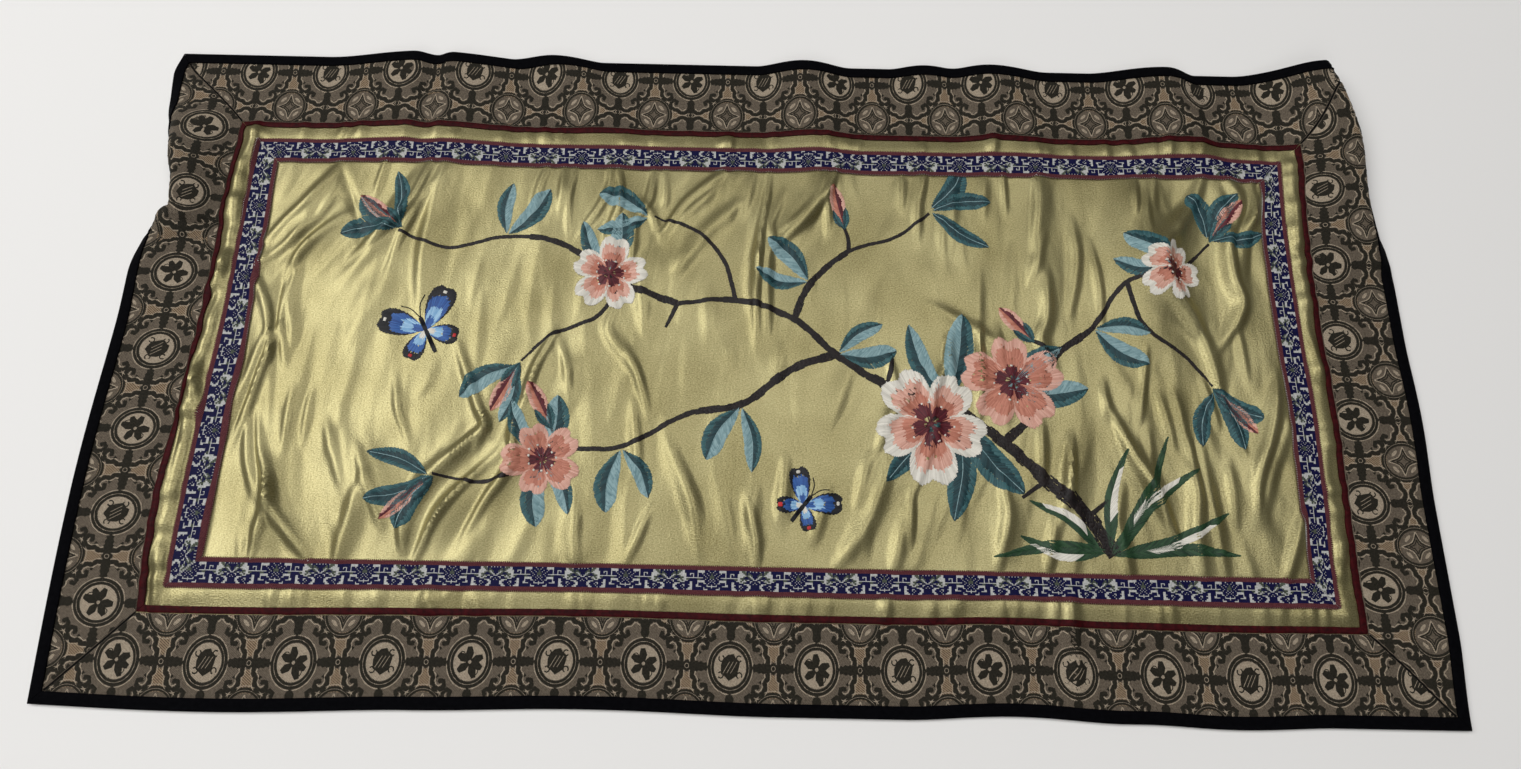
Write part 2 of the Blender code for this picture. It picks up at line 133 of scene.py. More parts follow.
# The main creases, from below or from the right: the widths to the left and right of the
# line, the height of its crest, and the points of the line
CREASES = (
    (6, 3.5, 4.4, (-365, 83), (-353, 98), (-339, 111), (-329, 126), (-321, 140)),
    (5, 3.5, 3.6, (-363, 68), (-349, 80), (-335, 94), (-327, 103), (-321, 116)),
    (5, 3.5, 3.5, (-343, 62), (-335, 76), (-325, 88), (-314, 99)),
    (5, 4, -2.7, (-297, 90), (-303, 108), (-313, 132)), (4, 3, 2.7, (-289, 126), (-284, 150)),
    (5, 3.2, 5.1, (-293, 78), (-275, 96), (-261, 114), (-255, 130), (-250, 150)),
    (3.5, 3.5, 3.5, (-271, 68), (-267, 86), (-261, 102), (-251, 124)),
    (9, 19, 5.1, (-248, 40), (-249, 78), (-246, 110), (-240, 146)),
    (4.5, 4, 3.7, (-349, 2), (-357, 30), (-370, 54)),
    (4, 3.5, 3.6, (-337, -2), (-344, 22), (-345, 46)),
    (4, 8, 3, (-335, 14), (-341, 36), (-340, 60)),
    (4.5, 5.5, 4.6, (-360, -58), (-355, -34), (-349, -6), (-346, 10)),
    (5.5, 4, 3.1, (-367, -56), (-364, -34), (-358, -6), (-354, 8)),
    (5, 5.5, 4.8, (-333, -144), (-330, -120), (-328, -106), (-331, -90), (-339, -74), (-345, -56)),
    (7, 6, 4, (-340, -98), (-348, -80), (-353, -60)),
    (4.5, 5, 4.3, (-301, -142), (-313, -128), (-323, -116), (-328, -102)),
    (4, 3, 3, (-324, -66), (-325, -38)), (4, 3, 2.7, (-312, -62), (-312, -36)),
    (3, 3, 3.3, (-245, -58), (-251, -44), (-255, -28)),
    (4, 4.5, 4.4, (-191, -52), (-203, -26), (-213, -2)),
    (4, 4, 3.5, (-211, -74), (-201, -64), (-191, -54)),
    (10, 11, 5.8, (-236, -128), (-233, -108), (-225, -90), (-211, -76), (-194, -60)),
    (4, 3.2, 5.6, (-226, -142), (-217, -118), (-205, -100), (-187, -80)),
    (6, 7, 3.5, (-256, -114), (-272, -78)), (5, 6, 3, (-285, -88), (-296, -60)),
    (4, 4, 2.7, (-237, -134), (-241, -108)), (8, 12, 4.4, (-278, -144), (-274, -120), (-270, -100)),
    (6, 4, 3.6, (-171, 112), (-168, 130), (-164, 146)), (4, 3, 3.1, (-151, 116), (-151, 144)),
    (3.5, 3.5, 3.1, (-145, 100), (-146, 122), (-143, 145)),
    (5, 4, 3.7, (-133, 98), (-122, 116), (-116, 132), (-116, 146)),
    (4, 2.8, 4.3, (-112, 104), (-108, 116), (-108, 130), (-110, 145)),
    (6, 4, 4.3, (-97, 80), (-95, 104), (-86, 122), (-84, 142)), (4, 4, 2.7, (-75, 122), (-75, 143)),
    (4, 3.5, 2.6, (-79, 98), (-84, 110), (-91, 118)),
    (5, 3.2, 4.8, (-73, 98), (-66, 109), (-59, 120), (-47, 132), (-33, 145)),
    (3.5, 4, 2.7, (-66, 96), (-58, 111), (-45, 124)),
    (12, 9, 3.7, (-56, 74), (-43, 97), (-26, 114)), (7, 5, 2.7, (-15, 116), (-10, 142)),
    (8, 8, 3.1, (-115, 52), (-110, 70), (-113, 90)), (8, 8, 3.1, (-86, 28), (-89, 58), (-84, 86)),
    (6, 7, 3, (-97, -2), (-110, 18), (-107, 34)),
    (4, 3.2, 4.6, (-165, -38), (-161, -20), (-157, -6), (-150, 10)),
    (4.5, 3.5, 5.1, (-193, -122), (-183, -102), (-175, -90), (-169, -76), (-171, -60), (-170, -44)),
    (4, 3.5, 3, (-194, -64), (-190, -52), (-196, -42)),
    (3.5, 3.5, 3.1, (-135, -24), (-138, -8), (-143, 6)),
    (4, 4, 3.5, (-80, -38), (-86, -18), (-93, -2)), (6, 5, 3, (-84, -76), (-88, -44)),
    (4, 4, 3.1, (-85, -138), (-76, -114)), (12, 7, 3.7, (-122, -144), (-124, -110)),
    (9, 9, 3.5, (-41, -130), (-47, -102), (-59, -72)),
    (5, 2.8, 4.8, (-4, 18), (-5, 48), (-4, 78), (-2, 100), (1, 122), (3, 146)),
    (3, 5, 2.7, (3, 22), (2, 60), (4, 94)),
    (4.5, 3, 5.4, (11, 89), (22, 100), (34, 112), (42, 124), (48, 134), (52, 149)),
    (4, 3, 3.7, (20, 105), (28, 112), (37, 124), (44, 142)),
    (3, 6, 3.3, (46, 104), (46, 118), (47, 132)), (4, 5, 2.7, (8, 88), (4, 102), (10, 122)),
    (8, 5, 3, (113, 104), (114, 124), (118, 142)), (8, 6, 2.6, (138, 94), (139, 120), (140, 142)),
    (6, 5, 2.1, (131, 90), (131, 118)), (6, 6, 2.1, (101, 122), (102, 144)),
    (6, 6, 2.1, (162, 118), (163, 142)), (4, 3, 3.3, (179, 124), (178, 150)),
    (8, 7, 2.6, (164, 17), (146, 28), (128, 39)), (4, 3.5, 3.1, (133, -8), (134, 14)),
    (3.5, 3, 3.1, (155, -8), (154, 22)), (4, 4, 2.7, (169, -2), (168, 22)),
    (4.5, 3, 4.6, (123, -56), (119, -40), (119, -24), (125, -13), (130, -2), (133, 12)),
    (3, 4, 2.7, (134, -14), (131, 10)), (4, 4, 3.5, (151, -40), (154, -10), (154, 10)),
    (6, 6, 4.6, (82, -60), (90, -41), (102, -28), (110, -12)), (4, 4, 2.7, (95, -24), (90, 0)),
    (4, 3.5, 3.5, (108, -86), (115, -68), (120, -52)),
    (10, 10, 4.3, (57, -138), (73, -114), (86, -80)), (6, 7, 3.1, (67, -98), (73, -74)),
    (4, 3.5, 3.5, (102, -122), (103, -96)), (9, 9, 3.7, (91, -142), (98, -110)),
    (5, 7, 3.7, (161, -136), (167, -110), (166, -92)), (6, 8, 3, (14, -106), (17, -78)),
    (4, 4, 3.1, (-1, -142), (-2, -126), (-6, -110)), (7, 8, 2.7, (38, -122), (45, -96)),
    (5, 12, 4.4, (199, 100), (202, 122), (203, 146)), (4, 4, 3, (274, 124), (276, 144)),
    (4, 4.5, 3.1, (281, 104), (283, 128)), (3, 3, 2.1, (289, 128), (291, 149)),
    (7, 7, 3.3, (223, 48), (227, 68), (229, 86), (228, 102)),
    (8, 5, 3.5, (243, 40), (243, 60), (241, 84)), (6, 5, 2.7, (194, 64), (203, 92)),
    (5, 9, 3.7, (204, 2), (197, 18), (203, 36), (205, 58)),
    (10, 9, 6.6, (323, -6), (316, 18), (308, 34), (299, 48), (289, 62), (287, 76), (290, 90),
     (300, 102), (308, 114), (318, 128), (327, 150)),
    (22, 30, 10.9, (304, 38), (290, 54), (286, 74), (290, 94), (306, 110)),
    (10, 6, 6.2, (330, 20), (341, 36), (346, 50), (341, 66), (340, 84), (340, 104), (340, 122)),
    (5, 8, 4.6, (343, 102), (350, 122), (350, 136), (344, 149)),
    (4.5, 4.5, 3.6, (350, 88), (353, 106), (361, 122), (361, 148)),
    (4.5, 4.5, 3.5, (353, 84), (357, 106), (361, 116), (366, 138)),
    (4, 4, 2.6, (342, -4), (341, 22)), (4, 3, 3.7, (265, -32), (268, -16), (271, 2)),
    (5, 6, 5.7, (281, -124), (275, -108), (270, -96), (262, -80), (252, -56), (243, -32)),
    (5, 9, 3.5, (272, -106), (266, -84), (262, -68)),
    (8, 7, 4.7, (296, -148), (293, -120), (296, -96), (297, -64)),
    (3.5, 8, 3.5, (310, -147), (307, -104), (304, -62)),
    (6, 7, 6.1, (337, -100), (341, -75), (349, -56), (355, -38), (361, -14)),
    (5, 6, 2.7, (343, -100), (351, -76), (360, -56), (367, -40)),
    (4, 7, 4.6, (351, -146), (357, -130), (366, -108)),
    (4, 3, 3.7, (325, -30), (321, -12), (316, 8)), (4, 4, 3.1, (317, -38), (312, -16)),
    (5, 6, 3.1, (284, -52), (279, -26)), (5, 5, 3.1, (295, -56), (290, -26)),
    (5, 6, 2.7, (333, -62), (328, -42)), (5, 6, 3.1, (322, -106), (321, -80)),
    (4, 5, 2.7, (268, -74), (268, -52)),
    (7, 8, 4.3, (246, -146), (243, -126), (241, -110), (245, -94)),
    (6, 6, 3.7, (193, -142), (198, -116)), (4, 3, 3.5, (205, -106), (209, -90), (212, -66)),
    (3.5, 4, 3.5, (211, -94), (214, -60)), (5, 6, 3.3, (193, -80), (194, -48)),
    (4, 5, 2.7, (240, -36), (240, -16)), (5, 4, 3.4, (-386, 146), (-388, 171)),
    (4, 4, 3.2, (-391, 78), (-390, 96), (-389, 118)),
    (4, 6, 4.9, (-399, 42), (-395, 52), (-391, 66)), (3, 5, 3.2, (-399, 16), (-397, 30)),
    (4, 6, 5.4, (-388, -44), (-393, -28), (-398, -8)),
    (4, 4, 3.9, (-392, -62), (-394, -46), (-398, -30)),
    (3, 5, 5.1, (-400, -162), (-399, -120), (-399, -85), (-397, -44)),
    (3, 4, 3.6, (-391, -176), (-390, -150)), (4, 5, 3.6, (-370, 42), (-370, 56), (-366, 70)),
    (4, 4, 3.4, (-370, -64), (-369, -34), (-370, 0)),
    (4, 4, 3.6, (-371, -148), (-370, -128), (-370, -106)),
    (6, 5, 3.3, (195, -181), (196, -170), (195, -159)),
    (8, 7, 3.1, (206, -218), (205, -190), (206, -162)),
)

# The way in which the satin's small ripples run, in degrees from +u, round some places of it
GRAINS = (
    (-300, 90, 55), (-360, -20, 98), (-300, -110, 118), (-170, 60, 84), (-180, -90, 64),
    (-40, 110, 60), (-20, 0, 90), (-10, -110, 98), (100, 100, 88), (105, -60, 62), (200, 60, 92),
    (210, -90, 80), (280, -80, 112), (300, 100, 100), (345, 0, 82),
)

# Small ripples, drawn by chance: how many, and the least and most of their length, their
# widths to the left and right, and their height
SOFT_RIPPLES = (150, (70, 180), (10, 24), (7, 13), (-1.1, 1.3))
FINE_RIPPLES = (190, (40, 120), (6, 14), (4, 7), (0.4, 1.5))
SEAM_RIPPLES = (170, (24, 40), (5, 11), (3.5, 6), (0.6, 1.9))
MARGIN_RIPPLES = (46, (30, 90), (4, 8), (2.5, 5), (0.8, 2.2))
BORDER_RIPPLES = (90, (40, 70), (9, 20), (9, 20), (-0.6, 0.6))
# Where they lie: how far from the satin's middle, at which insets, how the seams' ones are
# shared out between the sides, and how far the turns stray in degrees
RIPPLED_U = 375
RIPPLED_V = 155
SEAM_INSET = RIBBON_OUTER - 6.0
BORDER_INSET = 34.0
MARGIN_INSETS = (65.5, 71.0)
MARGIN_REACH = 160
SIDE_SHARES = (0.33, 0.33, 0.17, 0.17)
GRAIN_SOFTNESS = 12.0
GRAIN_STRAY = 9.0
SEAM_STRAY = 7.0
MARGIN_STRAY = 2.5

# How far the loose satin rises off the table, and how softly cloth is kept above it
LOOSE_LIFT = 1.6
LOOSE_REACH = 14.0
TABLE_SOFTNESS = 0.2
# How sharp the crests are, how narrow a crease ends, how far it runs on past its points, and
# how the stiff ribbon holds the cloth beside it flat
CREST = 0.05
SMALL_CREST = 0.08
TAPER = 0.4
END_REACH = 16.0
END_SHARE = 0.45
STIFF_REACH = 14.0
RIBBON_STIFFNESS = 0.6
# How finely the lying cloth is worked out, and how finely the pieces follow it
TABLE_STEP = 1.0
TABLE_MARGIN = 4.0
CREASE_PARTS = 8
SATIN_STEPS = (1.4, 2.55)
SEAM_WIDTH = 1.2
BORDER_STEP = 2.1

Side = namedtuple("Side", "out_u out_v half")
SIDES = {
    "top": Side(0.0, 1.0, DEPTH / 2),
    "bottom": Side(0.0, -1.0, DEPTH / 2),
    "left": Side(-1.0, 0.0, WIDTH / 2),
    "right": Side(1.0, 0.0, WIDTH / 2),
}


# The lie of the cloth


def half_length(side, inset):
    """Half the length of a side's strip, measured at an inset."""
    return (WIDTH if SIDES[side].out_v else DEPTH) / 2 - inset


def off_side(side, along, inset):
    """Cloth coordinates of a place on a border, whose ways along run with u or v."""
    out_u, out_v, half = SIDES[side]
    if out_v:
        return along, out_v * (half - inset)
    return out_u * (half - inset), along


def along_and_inset(side, u, v):
    """The place along a side, and the inset from it."""
    out_u, out_v, half = SIDES[side]
    return v if out_u else u, half - (out_u * u + out_v * v)


def bump(x):
    """One at x = 0, falling smoothly to nothing at -1 and 1."""
    return np.clip(1.0 - x * x, 0.0, None) ** 2


def ridge(x, crest):
    """A sharp ridge, one high at x = 0 and nothing from 1 on. `crest` rounds its top."""
    rise = 1.0 - np.sqrt(x * x + crest) + math.sqrt(crest)
    return np.clip(rise, 0.0, None) ** 2


def tapered(share):
    """The share of its width that a crease keeps where it dies out."""
    return TAPER + (1.0 - TAPER) * share


def to_left(way):
    """A way turned a quarter to the left."""
    return np.stack([-way[..., 1], way[..., 0]], -1)


def ways_along(line):
    """The ways of a line at its points, each one long."""
    way = np.gradient(line, axis=0)
    return way / np.maximum(np.hypot(way[:, 0], way[:, 1])[:, None], 1e-9)


def smooth_line(points, parts):
    """A smooth line through points, with some parts between each two."""
    points = np.asarray(points, float)
    ends = np.concatenate([2 * points[:1] - points[1:2], points, 2 * points[-1:] - points[-2:-1]])
    line = []
    for a, b, c, d in zip(ends, ends[1:], ends[2:], ends[3:]):
        for t in np.arange(parts) / parts:
            line.append(
                0.5 * (2 * b + (c - a) * t + (2 * a - 5 * b + 4 * c - d) * t**2
                       + (3 * b - a - 3 * c + d) * t**3)
            )
    return np.array(line + [points[-1]])


def add_folds(z, u, v, folds, crest=None):
    """Adds the rise of folds to heights. Their crests may be sharp."""
    for at_u, at_v, turn, length, left, right, height, bow in folds:
        near = np.hypot(u - at_u, v - at_v) < length / 2 + abs(bow) + max(left, right)
        du, dv = u[near] - at_u, v[near] - at_v
        turn = math.radians(turn)
        way = (du * math.cos(turn) + dv * math.sin(turn)) / (length / 2)
        off = dv * math.cos(turn) - du * math.sin(turn) - bow * (1.0 - way * way)
        width = np.where(off > 0, left, right)
        if crest is None:
            profile = bump(off / width)
        else:
            profile = ridge(np.abs(off) / (width * tapered(bump(way))), crest)
        z[near] += height * bump(way) * profile


def crease_height(left, right, height, points, u, v):
    """The rise of one crease: a ridge with a sharp crest, which dies out past both ends."""
    line = smooth_line(points, CREASE_PARTS)
    spread = min(END_REACH, END_SHARE * np.hypot(*(line[-1] - line[0])))
    for end, beside in ((0, 1), (-1, -2)):
        way = line[end] - line[beside]
        line[end] += way * spread / np.hypot(*way)
    steps = np.diff(line, axis=0)
    lengths = np.hypot(*steps.T)
    starts = np.concatenate([[0.0], np.cumsum(lengths)])
    best = np.full(u.shape, np.inf)
    off = np.zeros_like(u)
    way = np.zeros_like(u)
    for point, step, length, start in zip(line, steps, lengths, starts):
        du, dv = u - point[0], v - point[1]
        t = np.clip((du * step[0] + dv * step[1]) / length**2, 0.0, 1.0)
        distance = np.hypot(du - t * step[0], dv - t * step[1])
        side = np.sign(step[0] * dv - step[1] * du)
        nearer = distance < best
        best = np.where(nearer, distance, best)
        off = np.where(nearer, distance * side, off)
        way = np.where(nearer, (start + t * length) / starts[-1], way)
    share = np.sqrt(bump(2.0 * way - 1.0))
    width = np.where(off > 0, left, right) * tapered(share)
    return height * ridge(best / width, CREST) * share


def add_creases(z, u, v):
    """Adds the rise of the main creases to heights."""
    for left, right, height, *points in CREASES:
        reach = max(left, right) + END_REACH
        low, high = np.min(points, axis=0) - reach, np.max(points, axis=0) + reach
        near = (u > low[0]) & (u < high[0]) & (v > low[1]) & (v < high[1])
        z[near] += crease_height(left, right, height, points, u[near], v[near])


def roll_at(side, along):
    """The cloth past the crest, and its turn in radians, read smoothly between the rows."""
    at, tuck, angle = np.array(ROLLS[side], float).T
    index = np.clip(np.searchsorted(at, along) - 1, 0, len(at) - 2)
    share = np.clip((along - at[index]) / (at[index + 1] - at[index]), 0.0, 1.0)
    share = share * share * (3.0 - 2.0 * share)
    return [row[index] + share * (row[index + 1] - row[index]) for row in (tuck, np.radians(angle))]


def roll_section(past, angle):
    """How far out and down the cloth lies, that far past the crest."""
    arc = ROLL_RADIUS * angle
    turned_by = np.clip(past, 0.0, arc) / ROLL_RADIUS
    straight = np.clip(past - arc, 0.0, None)
    out = ROLL_RADIUS * np.sin(turned_by) + straight * np.cos(angle)
    down = ROLL_RADIUS * (1.0 - np.cos(turned_by)) + straight * np.sin(angle)
    return out, down


def roll_shift(side, u, v):
    """How far a rolled edge moves a point outwards and upwards."""
    along, inset = along_and_inset(side, u, v)
    tuck, angle = roll_at(side, along)
    past = np.clip(tuck - inset, 0.0, None)
    out, down = roll_section(past, angle)
    under = (THIRD + SHEET + GAP) * np.clip(-np.cos(angle), 0.0, None)
    crest = roll_section(tuck, angle)[1] + under
    rise = crest * bump(np.clip(inset - tuck, 0.0, None) / ROLL_REACH[side])
    return out - past, rise - down


def make_ripples():
    """Small folds: all over the satin along its grain, square to its seams, and along its
    left and right margins. Some are soft and some have sharp crests."""
    chance = np.random.default_rng(11)
    grain = np.array(GRAINS, float)
    soft, sharp = [], []

    def drawn(ripples):
        return [chance.uniform(*ends) for ends in ripples[1:]]

    for ripples, folds in ((SOFT_RIPPLES, soft), (FINE_RIPPLES, sharp)):
        for _ in range(ripples[0]):
            u = chance.uniform(-RIPPLED_U, RIPPLED_U)
            v = chance.uniform(-RIPPLED_V, RIPPLED_V)
            near = 1.0 / (np.hypot(u - grain[:, 0], v - grain[:, 1]) + GRAIN_SOFTNESS) ** 3
            turn = (near * grain[:, 2]).sum() / near.sum() + chance.normal(0.0, GRAIN_STRAY)
            folds.append((u, v, turn, *drawn(ripples), chance.uniform(-3, 3)))
    seams = ((SEAM_RIPPLES, sharp, SEAM_INSET), (BORDER_RIPPLES, soft, BORDER_INSET))
    for ripples, folds, inset in seams:
        for _ in range(ripples[0]):
            around = chance.uniform(0.0, 1.0)
            side = chance.choice(list(SIDES), p=SIDE_SHARES)
            along = (2 * around - 1) * half_length(side, inset)
            u, v = off_side(side, along, inset + chance.uniform(-4, 4))
            turn = (90.0 if SIDES[side].out_v else 0.0) + chance.normal(0.0, SEAM_STRAY)
            folds.append((u, v, turn, *drawn(ripples), 0.0))
    for _ in range(MARGIN_RIPPLES[0]):
        u = chance.choice((-1, 1)) * (WIDTH / 2 - chance.uniform(*MARGIN_INSETS))
        turn = 90.0 + chance.normal(0.0, MARGIN_STRAY)
        sizes = drawn(MARGIN_RIPPLES)
        v = chance.uniform(-MARGIN_REACH, MARGIN_REACH)
        sharp.append((u, v, turn, *sizes, 0.0))
    return soft, sharp


def clear_of_table(z):
    """Heights softly kept from falling under the table."""
    return (z + np.sqrt(z * z + TABLE_SOFTNESS**2)) / 2


def lie(u, v):
    """The underside of the cloth, in millimetres, at points of the flat cloth."""
    x, y, z = u + MIDDLE_X, v + MIDDLE_Y, np.zeros_like(u)
    for side, rows in WAVES.items():
        along, inset = along_and_inset(side, u, v)
        for at, before, after, middle, lift, shift, reach, lean in rows:
            off = along - at - lean * inset
            share = bump(off / np.where(off < 0, before, after)) * bump((inset - middle) / reach)
            x += SIDES[side].out_u * shift * share
            y += SIDES[side].out_v * shift * share
            z += lift * share
    for side in ROLLS:
        outward, upward = roll_shift(side, u, v)
        x += SIDES[side].out_u * outward
        z += upward
    add_folds(z, u, v, FOLDS)
    inset = np.minimum(WIDTH / 2 - np.abs(u), DEPTH / 2 - np.abs(v))
    loose = np.clip((inset - PIPING_OUTER) / LOOSE_REACH, 0.0, 1.0)
    z += LOOSE_LIFT * loose * loose * (3.0 - 2.0 * loose)
    fine = np.zeros_like(u)
    soft, sharp = make_ripples()
    add_folds(fine, u, v, soft)
    add_folds(fine, u, v, sharp, SMALL_CREST)
    add_creases(fine, u, v)
    beside_ribbon = (inset - RIBBON_OUTER - RIBBON_WIDTH / 2) / STIFF_REACH
    fine *= 1.0 - RIBBON_STIFFNESS * bump(beside_ribbon)
    z += clear_of_table(z + fine) - clear_of_table(z)
    return np.stack([x, y, z], -1)


def smoothed(z):
    """Heights on a square table, each softened with its neighbours."""
    for axis in (0, 1, 0, 1, 0, 1):
        edged = np.pad(z, [(1, 1) if axis == k else (0, 0) for k in (0, 1)], mode="edge")
        before, here, after = (np.take(edged, range(k, k + z.shape[axis]), axis) for k in range(3))
        z = (before + 2.0 * here + after) / 4.0
    return z


def work_out_cloth():
    """The lying cloth and its normals, on a square table of the flat one."""
    ends = WIDTH / 2 + TABLE_MARGIN, DEPTH / 2 + TABLE_MARGIN
    us, vs = (np.arange(-end, end + TABLE_STEP / 2, TABLE_STEP) for end in ends)
    u, v = np.meshgrid(us, vs, indexing="ij")
    points = lie(u, v)
    points[..., 2] = smoothed(points[..., 2])
    normals = np.cross(np.gradient(points, axis=0), np.gradient(points, axis=1))
    normals /= np.linalg.norm(normals, axis=-1, keepdims=True)
    return np.concatenate([points, normals], -1)


CLOTH = work_out_cloth()


def place(u, v, height):
    """Points at a height above the underside, square to the cloth, in metres."""
    column = (u + WIDTH / 2 + TABLE_MARGIN) / TABLE_STEP
    row = (v + DEPTH / 2 + TABLE_MARGIN) / TABLE_STEP
    i = np.clip(np.floor(column).astype(int), 0, CLOTH.shape[0] - 2)
    j = np.clip(np.floor(row).astype(int), 0, CLOTH.shape[1] - 2)
    s, t = (column - i)[..., None], (row - j)[..., None]
    near = CLOTH[i, j] * (1 - s) + CLOTH[i + 1, j] * s
    far = CLOTH[i, j + 1] * (1 - s) + CLOTH[i + 1, j + 1] * s
    mixed = near * (1 - t) + far * t
    normal = mixed[..., 3:]
    normal = normal / np.linalg.norm(normal, axis=-1, keepdims=True)
    return (mixed[..., :3] + normal * height[..., None]) * MM


# Pieces

# The angle in degrees from which an edge stays sharp, in general, on strips and on threads
SHARP = 40.0
STRIP_SHARP = 50.0
THREAD_SHARP = 80.0


def quads_of(shape):
    """The quads of a grid of points, or of many grids: (..., rows, columns)."""
    here = np.arange(math.prod(shape)).reshape(shape)
    corners = (here[..., :-1, :-1], here[..., 1:, :-1], here[..., 1:, 1:], here[..., :-1, 1:])
    return np.stack(corners, -1).reshape(-1, 4)


class Heap:
    """Points (a, b, height) and faces of one piece, gathered part by part, seen from above."""

    def __init__(self):
        self.points = []
        self.faces = []
        self.count = 0

    def add(self, points, faces=None):
        """Adds points and their faces, or else the quads of the grids that they make."""
        faces = quads_of(points.shape[:-1]) if faces is None else faces
        points = np.array(points, float).reshape(-1, 3)
        a, b = points[faces, 0], points[faces, 1]
        area = (a * np.roll(b, -1, axis=1) - b * np.roll(a, -1, axis=1)).sum(axis=1)
        faces = np.where(area[:, None] < 0, faces[:, ::-1], faces)
        self.points.append(points)
        self.faces.append(faces + self.count)
        self.count += len(points)

    def joined(self):
        faces = [face for block in self.faces for face in block.tolist()]
        return np.concatenate(self.points), faces


def dress(name, flat, faces, material, slot, nodes=(), sharp=SHARP):
    """A piece laid on the cloth, from (u, v, height) points. Its UVs are places on the flat
    cloth, in metres."""
    mesh = bpy.data.meshes.new(name)
    mesh.from_pydata(place(*flat.T).tolist(), [], faces)
    layer = mesh.uv_layers.new(name="Cloth")
    loops = np.empty(len(mesh.loops), np.int32)
    mesh.loops.foreach_get("vertex_index", loops)
    layer.uv.foreach_set("vector", (flat[loops, :2] * MM).astype(np.float32).ravel())
    mesh.shade_smooth()
    mesh.set_sharp_from_angle(angle=math.radians(sharp))
    mesh.materials.append(material)
    made = bpy.data.objects.new(name, mesh)
    bpy.context.scene.collection.objects.link(made)
    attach(made, "root")
    if nodes:
        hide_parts(*nodes)
    return made


def lay_over(name, side, local, faces, finish, slot):
    """A piece laid on a side's strip, from (along, inset, height) points."""
    u, v = off_side(side, local[:, 0], local[:, 1])
    if side in ("top", "left"):
        faces = [face[::-1] for face in faces]
    flat = np.stack([u, v, local[:, 2]], -1)
    dress(name + "_" + side, flat, faces, finish, slot, sharp=THREAD_SHARP)


# Materials

SILK_IOR = 1.5


def linear(colour):
    """A screen colour from 0 to 255, as linear light."""
    share = np.asarray(colour, float) / 255.0
    light = np.where(share < 0.04045, share / 12.92, ((share + 0.055) / 1.055) ** 2.4)
    return (*light.tolist(), 1.0)


class Finish:
    """A node material, built step by step."""

    def __init__(self, name, roughness, specular, metallic=0.0):
        self.material = bpy.data.materials.new(name)
        self.material.use_nodes = True
        self.tree = self.material.node_tree
        self.shader = self.tree.nodes["Principled BSDF"]
        for socket, value in (("Roughness", roughness), ("Specular IOR Level", specular),
                              ("Metallic", metallic), ("IOR", SILK_IOR)):
            self.shader.inputs[socket].default_value = value
        self.uv = self.node("ShaderNodeUVMap", uv_map="Cloth").outputs["UV"]

    def node(self, kind, inputs=None, **settings):
        made = self.tree.nodes.new(kind)
        for setting, value in settings.items():
            setattr(made, setting, value)
        for socket, value in (inputs or {}).items():
            if isinstance(value, bpy.types.NodeSocket):
                self.tree.links.new(value, made.inputs[socket])
            else:
                made.inputs[socket].default_value = value
        return made

    def math(self, operation, *values):
        inputs = dict(enumerate(values))
        return self.node("ShaderNodeMath", inputs, operation=operation).outputs[0]

    def mixed(self, first, second, share):
        """A mix of two values, with a share of the second."""
        rest = self.math("MULTIPLY", first, 1.0 - share)
        return self.math("ADD", rest, self.math("MULTIPLY", second, share))

    def noise(self, along, across, detail=2.0):
        """Soft spots of a size in millimetres each way."""
        scale = (1.0 / (along * MM), 1.0 / (across * MM), 1.0)
        mapping = self.node("ShaderNodeMapping", {"Vector": self.uv, "Scale": scale})
        inputs = {"Vector": mapping.outputs[0], "Scale": 1.0, "Detail": detail}
        return self.node("ShaderNodeTexNoise", inputs).outputs["Fac"]

    def ribs(self, along, across):
        """Ridges whose pitch is in millimetres, from 0 to 1. Either pitch may be endless."""
        place = self.node("ShaderNodeSeparateXYZ", {0: self.uv})
        total = 0.0
        for axis, pitch in (("X", along), ("Y", across)):
            if pitch:
                turns = self.math("MULTIPLY", place.outputs[axis], 2 * math.pi / (pitch * MM))
                total = self.math("ADD", turns, total)
        return self.math("MULTIPLY_ADD", self.math("SINE", total), 0.5, 0.5)

    def colour(self, share, start, deep, end, pale):
        """The base colour, from a deep one at a starting share to a pale one at an end."""
        ramp = self.node("ShaderNodeValToRGB", {"Fac": share})
        for element, at, colour in zip(ramp.color_ramp.elements, (start, end), (deep, pale)):
            element.position = at
            element.color = linear(colour)
        self.tree.links.new(ramp.outputs["Color"], self.shader.inputs["Base Color"])

    def relief(self, height, distance, strength=1.0):
        """A fine relief, whose depth is in millimetres."""
        inputs = {"Height": height, "Distance": distance * MM, "Strength": strength}
        made = self.node("ShaderNodeBump", inputs)
        self.tree.links.new(made.outputs["Normal"], self.shader.inputs["Normal"])


def satin_finish():
    """Glossy silk with broad clouds, a fine grain and small wrinkles."""
    made = Finish("satin silk", 0.41, 0.9, metallic=0.78)
    grain = made.noise(1.1, 0.9)
    share = made.mixed(made.noise(60, 60), grain, 0.6)
    made.colour(share, 0.3, (111, 102, 60), 0.7, (175, 167, 123))
    wrinkles = made.math("MULTIPLY", made.noise(16, 40), 4.0)
    made.relief(made.math("ADD", grain, wrinkles), 0.22)
    return made.material


def brocade_finish(name, deep, pale, twill=1.0, roughness=0.6):
    """Woven silk, whose slanting ribs have a pitch in millimetres."""
    made = Finish(name, roughness, 0.12)
    threads = made.ribs(twill, twill * 0.8)
    made.colour(made.mixed(threads, made.noise(1.3, 1.3), 0.55), 0.32, deep, 0.68, pale)
    made.relief(made.math("ADD", threads, made.ribs(None, 0.55)), 0.15)
    return made.material


